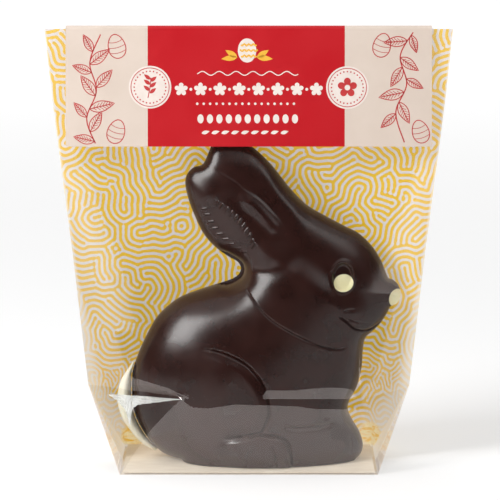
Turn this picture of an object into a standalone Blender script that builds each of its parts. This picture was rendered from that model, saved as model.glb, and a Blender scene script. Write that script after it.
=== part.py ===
"""A chocolate bunny in its clear block-bottom bag.

The bunny is moulded as two halves that meet at a seam in the plane Y = 0. It stands on
a card in the floor of a film bag, whose mouth is held shut by a folded header card.
Sizes are in millimetres and are turned into metres where a mesh is made.
+X is the way the bunny looks, -Y is the front of the pack, and Z = 0 is the table.
"""

import math

import bpy
import numpy as np
from mathutils import Vector
from mathutils.geometry import delaunay_2d_cdt

MM = 0.001
GAP = 0.3

# Bag
FILM = 0.4
BASE_WIDTH = 120.0
BASE_DEPTH = 71.0
CORNER_CUT = 1.8
FOLD_HEIGHT = 36.0
FOLD_DEPTH = 69.0
MOUTH_WIDTH = 190.6
MOUTH_DEPTH = 2.4
PACK_HEIGHT = 206.0
BAG_TOP = PACK_HEIGHT - 1.6
HEADER_FOOT = 150.0
HEADER_FOOT_DEPTH = 12.0
SIDE_REACH = [(0.0, BASE_WIDTH / 2), (FOLD_HEIGHT, 76.0), (100.0, 83.2), (154.0, 90.0), (174.0, 92.4),
              (BAG_TOP, MOUTH_WIDTH / 2)]
CREASE_DEPTH = 0.6
FRONT_CORNERS = (-31.0, 52.0)
BACK_CORNERS = (-56.0, 56.0)
TENT = 3.0
LENS_POWER = 2.4
LENS_RISE = 14.0
LENS_STEPS = 4
LENS_PLACES = (0.8, 0.94)
RING_STEPS = 6
FACE_STEPS = 10

# Cards
HEADER_WIDTH = 170.6
HEADER_CARD = 0.5
CARD = 0.5
CARD_MARGIN = 1.5

# Bunny
FOOT_LEVEL = FILM + CARD + 2 * GAP
SEAM = 0.5
FULLNESS = 0.445
EAR_FULLNESS = 0.38
OUTLINE_STEP = 2.6
LATTICE_STEP = 3.3
RING_DEPTHS = (0.25, 1.0, 2.3, 4.2)
DOT_DOME = 0.9

# Outline of the bunny in the seam plane, clockwise from the left of the far ear's root
FAR_EAR = [(-18.5, 147.4), (-16.8, 151.2), (-13.0, 153.5), (-8.0, 154.0), (-2.6, 152.2),
           (3.9, 147.4), (10.9, 140.5), (19.4, 129.8), (26.9, 122.2), (34.9, 117.3)]
BROW = [(45.2, 111.8), (51.3, 108.7), (57.4, 103.0), (62.1, 95.9), (65.4, 87.8)]
NOSE = [(67.5, 86.6), (70.1, 84.3), (71.5, 80.7), (71.1, 77.4), (69.4, 75.0), (66.8, 73.9)]
MUZZLE = [(65.2, 70.8), (62.1, 66.0), (58.4, 62.2), (55.1, 59.1)]
CHEST = [(53.9, 54.1), (53.2, 44.6), (50.9, 35.4), (47.3, 28.5), (46.9, 24.2)]
PAW = [(49.0, 19.5), (52.3, 14.0), (54.0, 8.1), (53.2, 4.0), (50.9, FOOT_LEVEL), (46.0, FOOT_LEVEL)]
RUMP = [(-24.0, FOOT_LEVEL), (-31.5, FOOT_LEVEL), (-37.5, 2.5), (-42.0, 4.9), (-46.8, 9.8), (-50.7, 15.4),
        (-53.6, 21.5), (-55.0, 28.0), (-55.2, 34.2), (-55.0, 41.8), (-53.5, 47.5)]
BACK = [(-50.7, 54.9), (-47.6, 61.3), (-43.6, 68.4), (-38.4, 73.8), (-31.9, 78.4),
        (-22.9, 81.9), (-12.6, 85.2), (-7.4, 87.1)]
NAPE = [(-4.4, 89.5), (-3.8, 92.6), (-5.5, 95.2), (-10.0, 97.8)]
NEAR_EAR = [(-16.4, 102.6), (-21.5, 108.7), (-25.5, 117.0), (-28.4, 124.9), (-29.8, 132.0),
            (-28.8, 136.5), (-25.8, 139.6), (-21.5, 141.2)]
TAIL = [(-53.4, 49.2), (-57.2, 43.7), (-60.4, 38.5), (-61.9, 32.3), (-61.7, 26.1),
        (-59.6, 20.0), (-55.8, 14.2), (-52.3, 10.0), (-47.8, 6.4), (-43.6, 4.6)]
TAIL_FULLNESS = 1.25

# Relief on the halves, as lines that are cut in or raised
EYE = (43.9, 89.7)
EYE_SOCKET = (5.3, 6.9)
EYE_DOT = (44.2, 86.9)
EYE_DOT_SIZE = (4.6, 3.95)
NOSE_DOT = (69.2, 78.2)
NOSE_DOT_SIZE = (3.3, 4.3)
NECK_LINE = [(-1.3, 84.5), (2.4, 79.0), (9.5, 71.4), (19.8, 64.8), (33.0, 58.3), (41.3, 56.2),
             (46.5, 57.0)]
HAUNCH_LINE = [(-22.5, 57.0), (-13.8, 55.8), (-3.2, 51.4), (2.9, 46.1), (7.0, 39.9), (9.2, 31.8),
               (9.2, 26.1), (6.2, 19.0), (2.9, 17.8), (-7.0, 16.0), (-14.6, 13.8)]
FOOT_LINE = [(4.8, 17.8), (12.6, 16.6), (17.5, 14.6), (19.4, 10.6), (20.4, FOOT_LEVEL)]
TOE_LINE = [(10.5, 12.5), (12.2, 8.0), (12.6, 4.0)]
LEG_LINE = [(15.1, 21.8), (21.7, 19.9), (33.5, 20.2), (41.7, 21.5)]
PAW_LINE = [(47.5, 14.0), (48.6, 9.0), (48.0, 5.0)]
MOUTH_LINE = [(41.5, 72.2), (45.6, 69.0), (48.5, 66.1), (51.5, 64.5), (56.5, 63.9), (62.3, 67.4)]
LIP_LINE = [(45.6, 70.6), (51.0, 68.4), (57.5, 67.0)]
DIMPLE_LINE = [(44.0, 73.6), (46.6, 74.5), (49.8, 74.0)]
EAR_EDGE = [(-19.2, 140.4), (-7.9, 134.0), (-2.3, 129.6), (4.3, 125.4), (10.0, 119.8), (14.7, 114.6),
            (17.5, 108.0)]
EAR_RIM = [(-5.5, 127.4), (-1.3, 125.4), (3.4, 121.6), (8.1, 116.6), (12.8, 111.2), (16.0, 108.2)]
EAR_HOLLOW = [(-20.5, 127.0), (-13.5, 117.5), (-4.0, 107.5)]
FAR_RIDGE = [(3.4, 143.0), (10.0, 135.2), (16.1, 127.3), (24.1, 119.4), (29.7, 115.8)]
EAR_ROOT = [(-3.0, 96.5), (6.5, 92.5), (14.0, 94.0), (20.5, 98.5), (26.0, 103.0)]
FUR_ROW_1 = [(-14.5, 123.6), (-9.3, 120.1), (-4.1, 115.6), (-0.4, 110.4), (2.4, 104.4)]
FUR_ROW_2 = [(-20.9, 121.0), (-18.2, 115.6), (-13.5, 109.4), (-7.9, 104.6), (-2.4, 101.4)]
FUR_COUNTS = (11, 9)
FUR_SLANTS = (math.radians(57), math.radians(6))
FUR_STROKE = 2.7
EAR_SHIFT = (14.5, 13.5)

# Heights of the relief, and its creases as line, half width, depth and the share that fades out
EAR_STEP = 0.4
FUR_RISE = 0.45
FUR_WIDTH = 0.32
SOCKET_DEPTH = 1.7
SOCKET_RIM = 0.45
HAUNCH_STEP = 1.3
FOOT_STEP = 1.8
FOOT_EDGE = [(-16.0, 12.6), (-7.0, 15.2), (-1.0, 16.6)] + FOOT_LINE
CREASES = [(MOUTH_LINE, 0.4, 1.0, 0.15), (LIP_LINE, 0.35, 0.35, 0.2), (DIMPLE_LINE, 0.5, 0.35, 0.3),
           (NECK_LINE, 0.4, 0.55, 0.08), (HAUNCH_LINE, 0.5, 0.9, 0.1), (FOOT_LINE, 0.45, 0.8, 0.1),
           (TOE_LINE, 0.45, 0.7, 0.15), (LEG_LINE, 1.0, 1.1, 0.2), (PAW_LINE, 0.5, 0.7, 0.15)]


def curve_points(keys, step, closed=False):
    """Points about one step apart on a smooth curve through the key points."""
    keys = np.array(keys, float)
    count = len(keys)
    points = []
    for i in range(count if closed else count - 1):
        if closed:
            a, b, c, d = (keys[(i + k) % count] for k in (-1, 0, 1, 2))
        else:
            a, b, c, d = keys[max(i - 1, 0)], keys[i], keys[i + 1], keys[min(i + 2, count - 1)]
        steps = max(1, round(np.linalg.norm(c - b) / step))
        for t in np.arange(steps) / steps:
            points.append(0.5 * (2 * b + (c - a) * t + (2 * a - 5 * b + 4 * c - d) * t ** 2
                                 + (3 * b - a - 3 * c + d) * t ** 3))
    if not closed:
        points.append(keys[-1])
    return np.array(points)


def line_distance(points, line, closed=False):
    """Distance from each point to a polyline, and how far along the line, 0 to 1."""
    ends = np.vstack([line, line[:1]]) if closed else line
    best = np.full(len(points), 1e9)
    along = np.zeros(len(points))
    count = len(ends) - 1
    for i in range(count):
        a, b = ends[i], ends[i + 1]
        span = b - a
        t = np.clip(((points - a) @ span) / (span @ span), 0, 1)
        gap = np.linalg.norm(points - a - t[:, None] * span, axis=1)
        closer = gap < best
        best[closer] = gap[closer]
        along[closer] = (i + t[closer]) / count
    return best, along


def line_side(points, line):
    """+1 where a point lies to the left of the line's direction, -1 to the right."""
    best = np.full(len(points), 1e9)
    side = np.ones(len(points))
    for a, b in zip(line[:-1], line[1:]):
        span = b - a
        t = np.clip(((points - a) @ span) / (span @ span), 0, 1)
        offset = points - a - t[:, None] * span
        gap = np.linalg.norm(offset, axis=1)
        closer = gap < best - 1e-9
        best[closer] = gap[closer]
        turn = span[0] * (points[:, 1] - a[1]) - span[1] * (points[:, 0] - a[0])
        side[closer] = np.sign(turn[closer])
    return side


def inside(points, loop):
    """Whether each point lies within a closed loop."""
    hit = np.zeros(len(points), bool)
    x, z = points[:, 0], points[:, 1]
    for a, b in zip(loop, np.roll(loop, -1, axis=0)):
        if a[1] == b[1]:
            continue
        crosses = (a[1] > z) != (b[1] > z)
        hit ^= crosses & (x < a[0] + (z - a[1]) * (b[0] - a[0]) / (b[1] - a[1]))
    return hit


def ease(value, low, high):
    """0 below low, 1 above high, and a smooth rise between them."""
    t = np.clip((value - low) / (high - low), 0, 1)
    return t * t * (3 - 2 * t)


def oval(centre, size, step, tilt=0.0):
    """A closed loop of points round an ellipse."""
    count = max(12, round(2 * math.pi * max(size) / step))
    turn = np.arange(count) * 2 * math.pi / count
    x, z = size[0] * np.cos(turn), size[1] * np.sin(turn)
    c, s = math.cos(tilt), math.sin(tilt)
    return np.column_stack([centre[0] + c * x - s * z, centre[1] + s * x + c * z])


def tapered(points, keys, width, depth, taper=0.15, closed=False):
    """A soft line of the given half width, fading out at its ends."""
    line = curve_points(keys, 1.0, closed)
    gap, along = line_distance(points, line, closed)
    ends = 1.0 if closed else ease(along, 0, taper) * ease(1 - along, 0, taper)
    return depth * np.exp(-(gap / width) ** 2) * ends


def outline():
    loop = curve_points(FAR_EAR + BROW + NOSE + MUZZLE + CHEST + PAW + RUMP + BACK + NAPE + NEAR_EAR,
                        OUTLINE_STEP, closed=True)
    loop[:, 1] = np.maximum(loop[:, 1], FOOT_LEVEL)
    return loop


def ear_lines(half):
    """The front ear's hollow and fur rows, on the ear that is in front on this half."""
    shift = np.zeros(2) if half < 0 else np.array(EAR_SHIFT)
    return [np.array(line) + shift for line in (EAR_HOLLOW, FUR_ROW_1, FUR_ROW_2)]


def fur_strokes(half):
    """Short strokes along both fur rows: steep in the first row, flatter in the second."""
    _, row_1, row_2 = ear_lines(half)
    strokes = []
    for row, slant, count in zip((row_1, row_2), FUR_SLANTS, FUR_COUNTS):
        path = curve_points(row, 0.2)
        places = path[np.linspace(0, len(path) - 1, count).round().astype(int)]
        reach = FUR_STROKE / 2 * np.array([math.cos(slant), math.sin(slant)])
        strokes += [np.array([place - reach, place + reach]) for place in places]
    return strokes


def relief(p, half):
    """Height added to the rounded form, outwards from the seam, in millimetres."""
    hollow, _, _ = ear_lines(half)
    edge = curve_points(EAR_EDGE, 1.0)
    gap, along = line_distance(p, edge)
    drop = ease(gap, 0, 1.6) * ease(24 - gap, 0, 16) * ease(along, 0, 0.2) * ease(1 - along, 0, 0.4)
    height = -EAR_STEP * (line_side(p, edge) * half < 0) * drop
    height += tapered(p, EAR_RIM, 3.0, 1.3, 0.25) * (half < 0)
    height += tapered(p, FAR_RIDGE, 5.0, 1.0, 0.3)
    height -= tapered(p, hollow, 5.5, 1.2, 0.35)
    height -= tapered(p, EAR_ROOT, 4.2, 1.0, 0.3)
    for stroke in fur_strokes(half):
        gap, _ = line_distance(p, stroke)
        height += FUR_RISE * np.exp(-(gap / FUR_WIDTH) ** 2)

    socket = np.hypot((p[:, 0] - EYE[0]) / EYE_SOCKET[0], (p[:, 1] - EYE[1]) / EYE_SOCKET[1])
    height -= SOCKET_DEPTH * ease(1.0 - socket, 0, 0.3)
    height += SOCKET_RIM * np.exp(-((socket - 1.06) / 0.09) ** 2)

    haunch = curve_points(HAUNCH_LINE, 1.0)
    gap, along = line_distance(p, haunch)
    swell = ease(gap, 0, 5) * ease(45 - gap, 0, 40) * ease(along, 0, 0.25) * ease(1 - along, 0, 0.15)
    height += HAUNCH_STEP * (line_side(p, haunch) < 0) * swell
    foot = curve_points(FOOT_EDGE, 1.0)
    gap, along = line_distance(p, foot)
    height += FOOT_STEP * (line_side(p, foot) < 0) * ease(gap, 0, 2.2) * ease(26 - gap, 0, 16) * ease(along, 0, 0.3)
    for keys, width, depth, taper in CREASES:
        height -= tapered(p, keys, width, depth, taper)
    return height


def ear_zone(p):
    """1 over the ears and 0 over the rest of the bunny."""
    return ease(p[:, 1] + 0.75 * p[:, 0], 106, 122)


def flange(p):
    """Width of the thin seam rim: broad at the nape and beside the tail, nothing elsewhere."""
    nape = np.linalg.norm(p - np.array([-6.0, 92.0]), axis=1)
    rump = np.hypot((p[:, 0] + 54.0) / 8.0, (p[:, 1] - 26.0) / 24.0)
    return 1.3 * ease(13.0 - nape, 0, 5) + 1.1 * ease(1.0 - rump, 0, 0.3)


def membrane(p, triangles, fixed):
    """Height squared of a skin blown up over the outline: it solves a membrane's equation."""
    a, b, c = (p[triangles[:, k]] for k in range(3))
    area = 0.5 * np.abs((b[:, 0] - a[:, 0]) * (c[:, 1] - a[:, 1]) - (b[:, 1] - a[:, 1]) * (c[:, 0] - a[:, 0]))
    count = len(p)
    rows, cols, weights = [], [], []
    for k in range(3):
        i, j, o = (triangles[:, (k + s) % 3] for s in range(3))
        u, v = p[i] - p[o], p[j] - p[o]
        cotangent = (u * v).sum(1) / (4 * np.maximum(area, 1e-6))
        rows += [i, j]
        cols += [j, i]
        weights += [cotangent, cotangent]
    rows, cols, weights = (np.concatenate(part) for part in (rows, cols, weights))
    diagonal = np.bincount(rows, weights, count)
    fixed = fixed | (diagonal <= 0)
    diagonal[fixed] = 1
    load = 4 * np.bincount(triangles.ravel(), np.repeat(area / 3, 3), count)
    load[fixed] = 0

    def stiffness(u):
        out = diagonal * u - np.bincount(rows, weights * u[cols], count)
        out[fixed] = 0
        return out

    u = np.zeros(count)
    residual = load.copy()
    scaled = residual / diagonal
    search = scaled.copy()
    strength = target = residual @ scaled
    for _ in range(4000):
        product = stiffness(search)
        move = strength / (search @ product)
        u += move * search
        residual -= move * product
        scaled = residual / diagonal
        fresh = residual @ scaled
        if fresh < 1e-12 * target:
            break
        search = scaled + fresh / strength * search
        strength = fresh
    return np.maximum(u, 0)


def fill_points(loop, step, ring_depths, extra):
    """Points for a fine mesh inside a loop: rings near its edge, a lattice, and extra ones."""
    ahead, behind = np.roll(loop, -1, axis=0), np.roll(loop, 1, axis=0)
    along = ahead - behind
    normal = np.column_stack([along[:, 1], -along[:, 0]]) / np.linalg.norm(along, axis=1)[:, None]
    points = [loop]
    for depth in ring_depths:
        ring = loop + normal * depth
        gap, _ = line_distance(ring, loop, closed=True)
        points.append(ring[(gap > 0.93 * depth) & inside(ring, loop)])
    low, high = loop.min(0), loop.max(0)
    xs = np.arange(low[0], high[0], step)
    zs = np.arange(low[1], high[1], step * math.sqrt(0.75))
    x, z = np.meshgrid(xs, zs)
    x[1::2] += step / 2
    lattice = np.column_stack([x.ravel(), z.ravel()])
    gap, _ = line_distance(lattice, loop, closed=True)
    lattice = lattice[inside(lattice, loop) & (gap > max(ring_depths) + 0.45 * step)]
    if len(extra):
        near = np.full(len(lattice), 1e9)
        for point in extra:
            near = np.minimum(near, np.linalg.norm(lattice - point, axis=1))
        lattice = lattice[near > 0.5 * step]
        gap, _ = line_distance(extra, loop, closed=True)
        points.append(extra[inside(extra, loop) & (gap > 0.6)])
    return np.vstack(points + [lattice])


def triangulate(points, loops):
    """Triangles over all the points, with every loop kept as a chain of edges."""
    edges = []
    start = 0
    for loop in loops:
        count = len(loop)
        edges += [(start + i, start + (i + 1) % count) for i in range(count)]
        start += count
    cloud = [Vector(point) for point in np.vstack(list(loops) + [points]).tolist()]
    verts, _, faces, _, _, _ = delaunay_2d_cdt(cloud, edges, [], 0, 1e-4)
    return np.array([tuple(v) for v in verts]), np.array([tuple(f) for f in faces])


def feature_points():
    """Rows of mesh points along the cut lines, so that the creases stay crisp."""
    rows = []
    lines = [(MOUTH_LINE, 1.3), (LIP_LINE, 0), (DIMPLE_LINE, 0), (NECK_LINE, 1.0), (HAUNCH_LINE, 1.1),
             (FOOT_EDGE, 1.2), (TOE_LINE, 0), (EAR_EDGE, 1.4), (LEG_LINE, 0), (PAW_LINE, 0)]
    for keys, side in lines:
        path = curve_points(keys, 1.9)
        along = np.gradient(path, axis=0)
        normal = np.column_stack([-along[:, 1], along[:, 0]]) / np.linalg.norm(along, axis=1)[:, None]
        rows.append(path)
        if side:
            rows += [path + side * normal, path - side * normal]
    for scale in (0.7, 1.0, 1.22):
        rows.append(oval(EYE, (EYE_SOCKET[0] * scale, EYE_SOCKET[1] * scale), 1.7))
    for half in (-1, 1):
        for start, end in fur_strokes(half):
            across = np.array([start[1] - end[1], end[0] - start[0]]) / FUR_STROKE
            middle = (start + end) / 2
            rows.append(np.array([start, middle, end, middle + 0.7 * across, middle - 0.7 * across]))
    points = np.vstack(rows)
    kept = []
    for point in points:
        if not kept or np.min(np.linalg.norm(np.array(kept) - point, axis=1)) > 0.55:
            kept.append(point)
    return np.array(kept)


def shell_mesh(name, p, triangles, front, back):
    """A closed mesh from two skins over the same triangles, joined by a wall at the border."""
    used = np.unique(triangles)
    index = {old: new for new, old in enumerate(used.tolist())}
    count = len(used)
    verts = [(p[i, 0], -front[i], p[i, 1]) for i in used] + [(p[i, 0], back[i], p[i, 1]) for i in used]
    faces = []
    edges = {}
    for triangle in triangles.tolist():
        a, b, c = (index[i] for i in triangle)
        faces.append((a, b, c))
        faces.append((c + count, b + count, a + count))
        for edge in ((a, b), (b, c), (c, a)):
            edges[edge] = edges.get(edge, 0) + 1
    for a, b in edges:
        if (b, a) not in edges:
            faces.append((b, a, a + count, b + count))
    mesh = bpy.data.meshes.new(name)
    mesh.from_pydata([tuple(MM * value for value in vert) for vert in verts], [], faces)
    return mesh


def heights(p, triangles, seam, half):
    """Distance of one half's surface from the seam plane, at each point."""
    fixed = seam | (seam_distance(p) < flange(p))
    fullness = FULLNESS + (EAR_FULLNESS - FULLNESS) * ear_zone(p)
    fullness *= 1 - 0.25 * ease(p[:, 1], 140, 154)
    tuck = 1 - 0.10 * ease(12 - p[:, 1], 0, 12) ** 2
    skin = fullness * tuck * np.sqrt(membrane(p, triangles, fixed))
    return np.maximum(skin + relief(p, half) * ease(skin, 0.5, 5.0), SEAM)


def seam_distance(p):
    loop = outline()
    floor = np.flatnonzero(loop[:, 1] < FOOT_LEVEL + 1e-6)
    open_line = np.roll(loop, -floor[-1], axis=0)[:len(loop) - len(floor) + 2]
    gap, _ = line_distance(p, open_line)
    return gap


def bunny_parts():
    """The body, its white eye and nose dots: one triangulation cut along the dots' edges."""
    loop = outline()
    eye = oval(EYE_DOT, EYE_DOT_SIZE, 1.7)
    eye_core = oval(EYE_DOT, [0.86 * size for size in EYE_DOT_SIZE], 1.7)
    nose = oval(NOSE_DOT, NOSE_DOT_SIZE, 1.7, math.radians(-14))
    nose_inner = oval(NOSE_DOT, [size + GAP for size in NOSE_DOT_SIZE], 1.7, math.radians(-14))
    p, triangles = triangulate(fill_points(loop, LATTICE_STEP, RING_DEPTHS, feature_points()),
                               [loop, eye, nose, nose_inner])
    centres = p[triangles].mean(1)
    within = inside(centres, loop)
    triangles, centres = triangles[within], centres[within]
    seam = seam_distance(p) < 1e-3
    near = heights(p, triangles, seam, -1)
    far = heights(p, triangles, seam, 1)
    in_nose = inside(centres, nose)
    body = triangles[~inside(centres, nose_inner)]
    parts = {"bunny_body": shell_mesh("bunny_body", p, body, near, far)}
    parts["nose_dot"] = shell_mesh("nose_dot", p, triangles[in_nose], near, far)
    dots = triangles[inside(centres, eye)]
    rise = DOT_DOME * np.sqrt(np.clip(1.1 - eye_measure(p) ** 2, 0.02, 1))
    parts["eye_near"] = shell_mesh("eye_near", p, dots, near + GAP + rise, -near - GAP)
    parts["eye_far"] = shell_mesh("eye_far", p, dots, -far - GAP, far + GAP + rise)
    return parts


def eye_measure(p):
    """0 at the middle of the eye dot and 1 at its edge."""
    return np.hypot((p[:, 0] - EYE_DOT[0]) / EYE_DOT_SIZE[0], (p[:, 1] - EYE_DOT[1]) / EYE_DOT_SIZE[1])


def tail_part():
    """The white tail: a crescent blown up between its own edge and the body's."""
    rump = np.array(RUMP[3:][::-1])
    inner = curve_points([(x - GAP - 0.1, z) for x, z in rump if z < 49], OUTLINE_STEP)
    outer = curve_points(TAIL[::-1], OUTLINE_STEP)
    loop = np.vstack([inner[2:-2], outer[1:-1]])
    p, triangles = triangulate(fill_points(loop, 2.4, (0.3, 1.1), []), [loop])
    triangles = triangles[inside(p[triangles].mean(1), loop)]
    edge_gap, _ = line_distance(p, loop, closed=True)
    skin = np.maximum(TAIL_FULLNESS * np.sqrt(membrane(p, triangles, edge_gap < 1e-3)), SEAM)
    return shell_mesh("tail", p, triangles, skin, skin)


def bag_depth(z):
    """Half depth of the bag at its middle: upright at the foot, then leaning in to the mouth."""
    levels = (0.0, FOLD_HEIGHT, HEADER_FOOT, BAG_TOP)
    depths = (BASE_DEPTH, FOLD_DEPTH, HEADER_FOOT_DEPTH, MOUTH_DEPTH)
    lean = np.clip((z - FOLD_HEIGHT) / (HEADER_FOOT - FOLD_HEIGHT), 0, 1)
    return np.interp(z, levels, depths) / 2 + TENT * math.sin(math.pi * lean)


def foot_face(share, corners, side, depth):
    """One face below the fold: at each end a side panel and a slanting corner panel."""
    ends = []
    for way, corner in zip((-1, 1), corners):
        crease = np.array([way * side, CREASE_DEPTH])
        turn = np.array([way * (BASE_WIDTH / 2 - CORNER_CUT) * (1 - share) + corner * share, depth])
        panel = np.array([0, depth - CORNER_CUT - CREASE_DEPTH])
        gusset = crease + panel * (1 - share) + (turn - crease) * share * (1 - max(LENS_PLACES))
        ends.append((crease, gusset, turn))
    left, right = ends
    face = np.linspace(left[2], right[2], FACE_STEPS + 1)
    return np.vstack([left[:2], face, right[1::-1]])


def lens_face(foot, side, depth, spread, rise):
    """One face above the fold: its corners grow into a curve that is deepest in the middle."""
    face, edge = LENS_PLACES
    even = np.concatenate([[-1, -edge], np.linspace(-face, face, FACE_STEPS + 1), [edge, 1]])
    across = foot[:, 0] + (side * even - foot[:, 0]) * spread
    depths = np.maximum(CREASE_DEPTH, depth * (1 - np.abs(across / side) ** LENS_POWER))
    return np.column_stack([across, foot[:, 1] + (depths - foot[:, 1]) * rise])


def bag_ring(z):
    """One level of the bag, round from the left crease along the front and back again."""
    side, depth = np.interp(z, *np.array(SIDE_REACH).T), bag_depth(z)
    spread = ease(z, FOLD_HEIGHT, HEADER_FOOT)
    rise = ease(z, FOLD_HEIGHT, FOLD_HEIGHT + LENS_RISE)
    ring = []
    for way, corners in ((-1, FRONT_CORNERS), (1, BACK_CORNERS)):
        foot = foot_face(min(z / FOLD_HEIGHT, 1), corners, side, depth)
        face = lens_face(foot, side, depth, spread, rise)
        ring += [(x, way * y, z) for x, y in face[::-way]]
    return ring


def film_bag():
    """The bag: a loft of levels over a flat floor, open at its mouth, thickened inwards."""
    stages = [(0, FOLD_HEIGHT, 2), (FOLD_HEIGHT, FOLD_HEIGHT + LENS_RISE, LENS_STEPS),
              (FOLD_HEIGHT + LENS_RISE, HEADER_FOOT, RING_STEPS), (HEADER_FOOT, BAG_TOP, 3)]
    rings = [bag_ring(0)]
    for start, end, steps in stages:
        rings += [bag_ring(z) for z in np.linspace(start, end, steps + 1)[1:]]
    count = len(rings[0])
    verts = [tuple(MM * v for v in point) for ring in rings for point in ring]
    faces = [tuple(reversed(range(count)))]
    for level in range(len(rings) - 1):
        low = level * count
        for i in range(count):
            j = (i + 1) % count
            faces.append((low + i, low + j, low + count + j, low + count + i))
    mesh = bpy.data.meshes.new("film_bag")
    mesh.from_pydata(verts, [], faces)
    bag = bpy.data.objects.new("film_bag", mesh)
    wall = bag.modifiers.new("Film", "SOLIDIFY")
    wall.thickness = FILM * MM
    wall.offset = -1
    return bag


def header_card():
    """The header: one card folded over the mouth of the bag, down to the header's foot."""
    clear = GAP + 0.02
    foot = HEADER_FOOT_DEPTH / 2 + clear
    top = MOUTH_DEPTH / 2 + clear
    fold = PACK_HEIGHT - HEADER_CARD
    turns = [math.radians(180 - 22.5 * k) for k in range(9)]
    arc = [(top * math.cos(turn), fold - top + top * math.sin(turn)) for turn in turns]
    profile = [(-foot, HEADER_FOOT)] + arc + [(foot, HEADER_FOOT)]
    half = HEADER_WIDTH / 2
    verts = [(MM * x, MM * y, MM * z) for y, z in profile for x in (-half, half)]
    faces = [(2 * i, 2 * i + 1, 2 * i + 3, 2 * i + 2) for i in range(len(profile) - 1)]
    mesh = bpy.data.meshes.new("header_card")
    mesh.from_pydata(verts, [], faces)
    card = bpy.data.objects.new("header_card", mesh)
    sheet = card.modifiers.new("Card", "SOLIDIFY")
    sheet.thickness = HEADER_CARD * MM
    sheet.offset = 1
    sheet.use_even_offset = True
    return card


def base_card():
    """The card in the floor of the bag, on which the bunny stands."""
    width, depth = BASE_WIDTH - 2 * CARD_MARGIN, BASE_DEPTH - 2 * CARD_MARGIN
    bpy.ops.mesh.primitive_cube_add(size=1, location=(0, 0, MM * (FILM + GAP + CARD / 2)))
    card = bpy.context.object
    card.name = "base_card"
    card.scale = (width * MM, depth * MM, CARD * MM)
    bpy.ops.object.transform_apply(location=False, rotation=False, scale=True)
    return card


def material(name, colour, roughness, alpha=1.0):
    skin = bpy.data.materials.new(name)
    skin.use_nodes = True
    shader = skin.node_tree.nodes["Principled BSDF"]
    shader.inputs["Base Color"].default_value = (*colour, 1)
    shader.inputs["Roughness"].default_value = roughness
    shader.inputs["Alpha"].default_value = alpha
    skin.diffuse_color = (*colour, alpha)
    return skin


def main():
    for old in list(bpy.data.objects):
        bpy.data.objects.remove(old)
    pack = bpy.data.collections.new("packed_chocolate_bunny")
    bpy.context.scene.collection.children.link(pack)
    dark = material("dark_chocolate", (0.03, 0.012, 0.01), 0.25)
    white = material("white_chocolate", (0.78, 0.70, 0.45), 0.4)
    film = material("clear_film", (0.9, 0.75, 0.4), 0.1, 0.35)
    print_card = material("printed_card", (0.6, 0.02, 0.03), 0.5)
    plain_card = material("plain_card", (0.72, 0.62, 0.5), 0.7)

    skins = {"bunny_body": dark, "nose_dot": white, "eye_near": white, "eye_far": white, "tail": white}
    meshes = bunny_parts()
    meshes["tail"] = tail_part()
    objects = []
    for name, mesh in meshes.items():
        mesh.materials.append(skins[name])
        objects.append(bpy.data.objects.new(name, mesh))
    for maker, skin in ((film_bag, film), (header_card, print_card), (base_card, plain_card)):
        piece = maker()
        piece.data.materials.append(skin)
        objects.append(piece)
    for piece in objects:
        for home in list(piece.users_collection):
            home.objects.unlink(piece)
        pack.objects.link(piece)
        if piece.name in meshes:
            piece.data.shade_smooth()
            piece.data.set_sharp_from_angle(angle=math.radians(50))


main()
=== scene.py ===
"""The look of a chocolate bunny in its bag: fine moulding, clear film, printed back and header."""

import math

import bpy
import numpy as np
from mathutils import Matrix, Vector
from mathutils.geometry import delaunay_2d_cdt
from mathutils.kdtree import KDTree


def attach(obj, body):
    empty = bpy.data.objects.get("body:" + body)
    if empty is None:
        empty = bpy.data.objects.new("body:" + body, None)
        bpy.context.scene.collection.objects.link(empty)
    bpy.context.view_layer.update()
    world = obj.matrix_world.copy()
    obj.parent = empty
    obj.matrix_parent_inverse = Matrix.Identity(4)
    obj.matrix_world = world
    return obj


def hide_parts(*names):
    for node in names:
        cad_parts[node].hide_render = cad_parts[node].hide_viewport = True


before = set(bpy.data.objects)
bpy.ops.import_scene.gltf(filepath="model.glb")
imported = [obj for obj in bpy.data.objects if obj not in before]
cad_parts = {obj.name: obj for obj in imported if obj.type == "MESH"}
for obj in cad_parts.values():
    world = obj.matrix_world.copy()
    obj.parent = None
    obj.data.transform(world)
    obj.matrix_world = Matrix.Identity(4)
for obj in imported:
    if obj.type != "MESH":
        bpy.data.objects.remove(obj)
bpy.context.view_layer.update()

MM = 0.001

# Camera: the photograph's frame is 500 pixels wide, and one pixel is this size at the bunny
PIXEL = 0.47
PICTURE = 500
CAMERA_DISTANCE = 1600.0
CAMERA_RISE = math.radians(7.6)
PICTURE_CENTRE = (0.56, 0, 100.5)
SENSOR = 36.0
CLIP = (0.05, 60)

# Bag, in millimetres, at the heights of its own fold lines
BAG_TOP = 204.4
LEVELS = (0, 36, 100, 154, 174, 204.4)
SIDE_CREASE = (59.9, 75.8, 83, 89.8, 92.2, 95.2)
UPPER_CORNER = [(65, 64), (100, 71), (154, 84), (204.4, 91)]
LEFT_CORNER = [(0, 59.4), (10, 53.2), (21.7, 45), (30, 37), (36, 31),
               (44, 54)] + UPPER_CORNER
RIGHT_CORNER = [(0, 59.4), (36, 52), (46, 58)] + UPPER_CORNER
BACK_CORNER = [(0, 59.4), (36, 56), (65, 62), (100, 70), (154, 84), (204.4, 91)]
FLOOR_DEPTH = 35.3
FLOOR_LIFT = 0.15
FLOOR_POINTS = (61, 37)
FOLD_HEIGHT = 36.0
HEADER_FOOT = 150.0
HEADER_FOOT_DEPTH = 5.8
MOUTH_DEPTH = 1.1
TENT = 3.0
MOUTH_START = 42.0
FOLD_DEPTH = 34.2
LENS_POWER = 2.4
FRONT_RISE = 40.0
BACK_RISE = 14.0
BEND_POWER = 1.35
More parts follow.
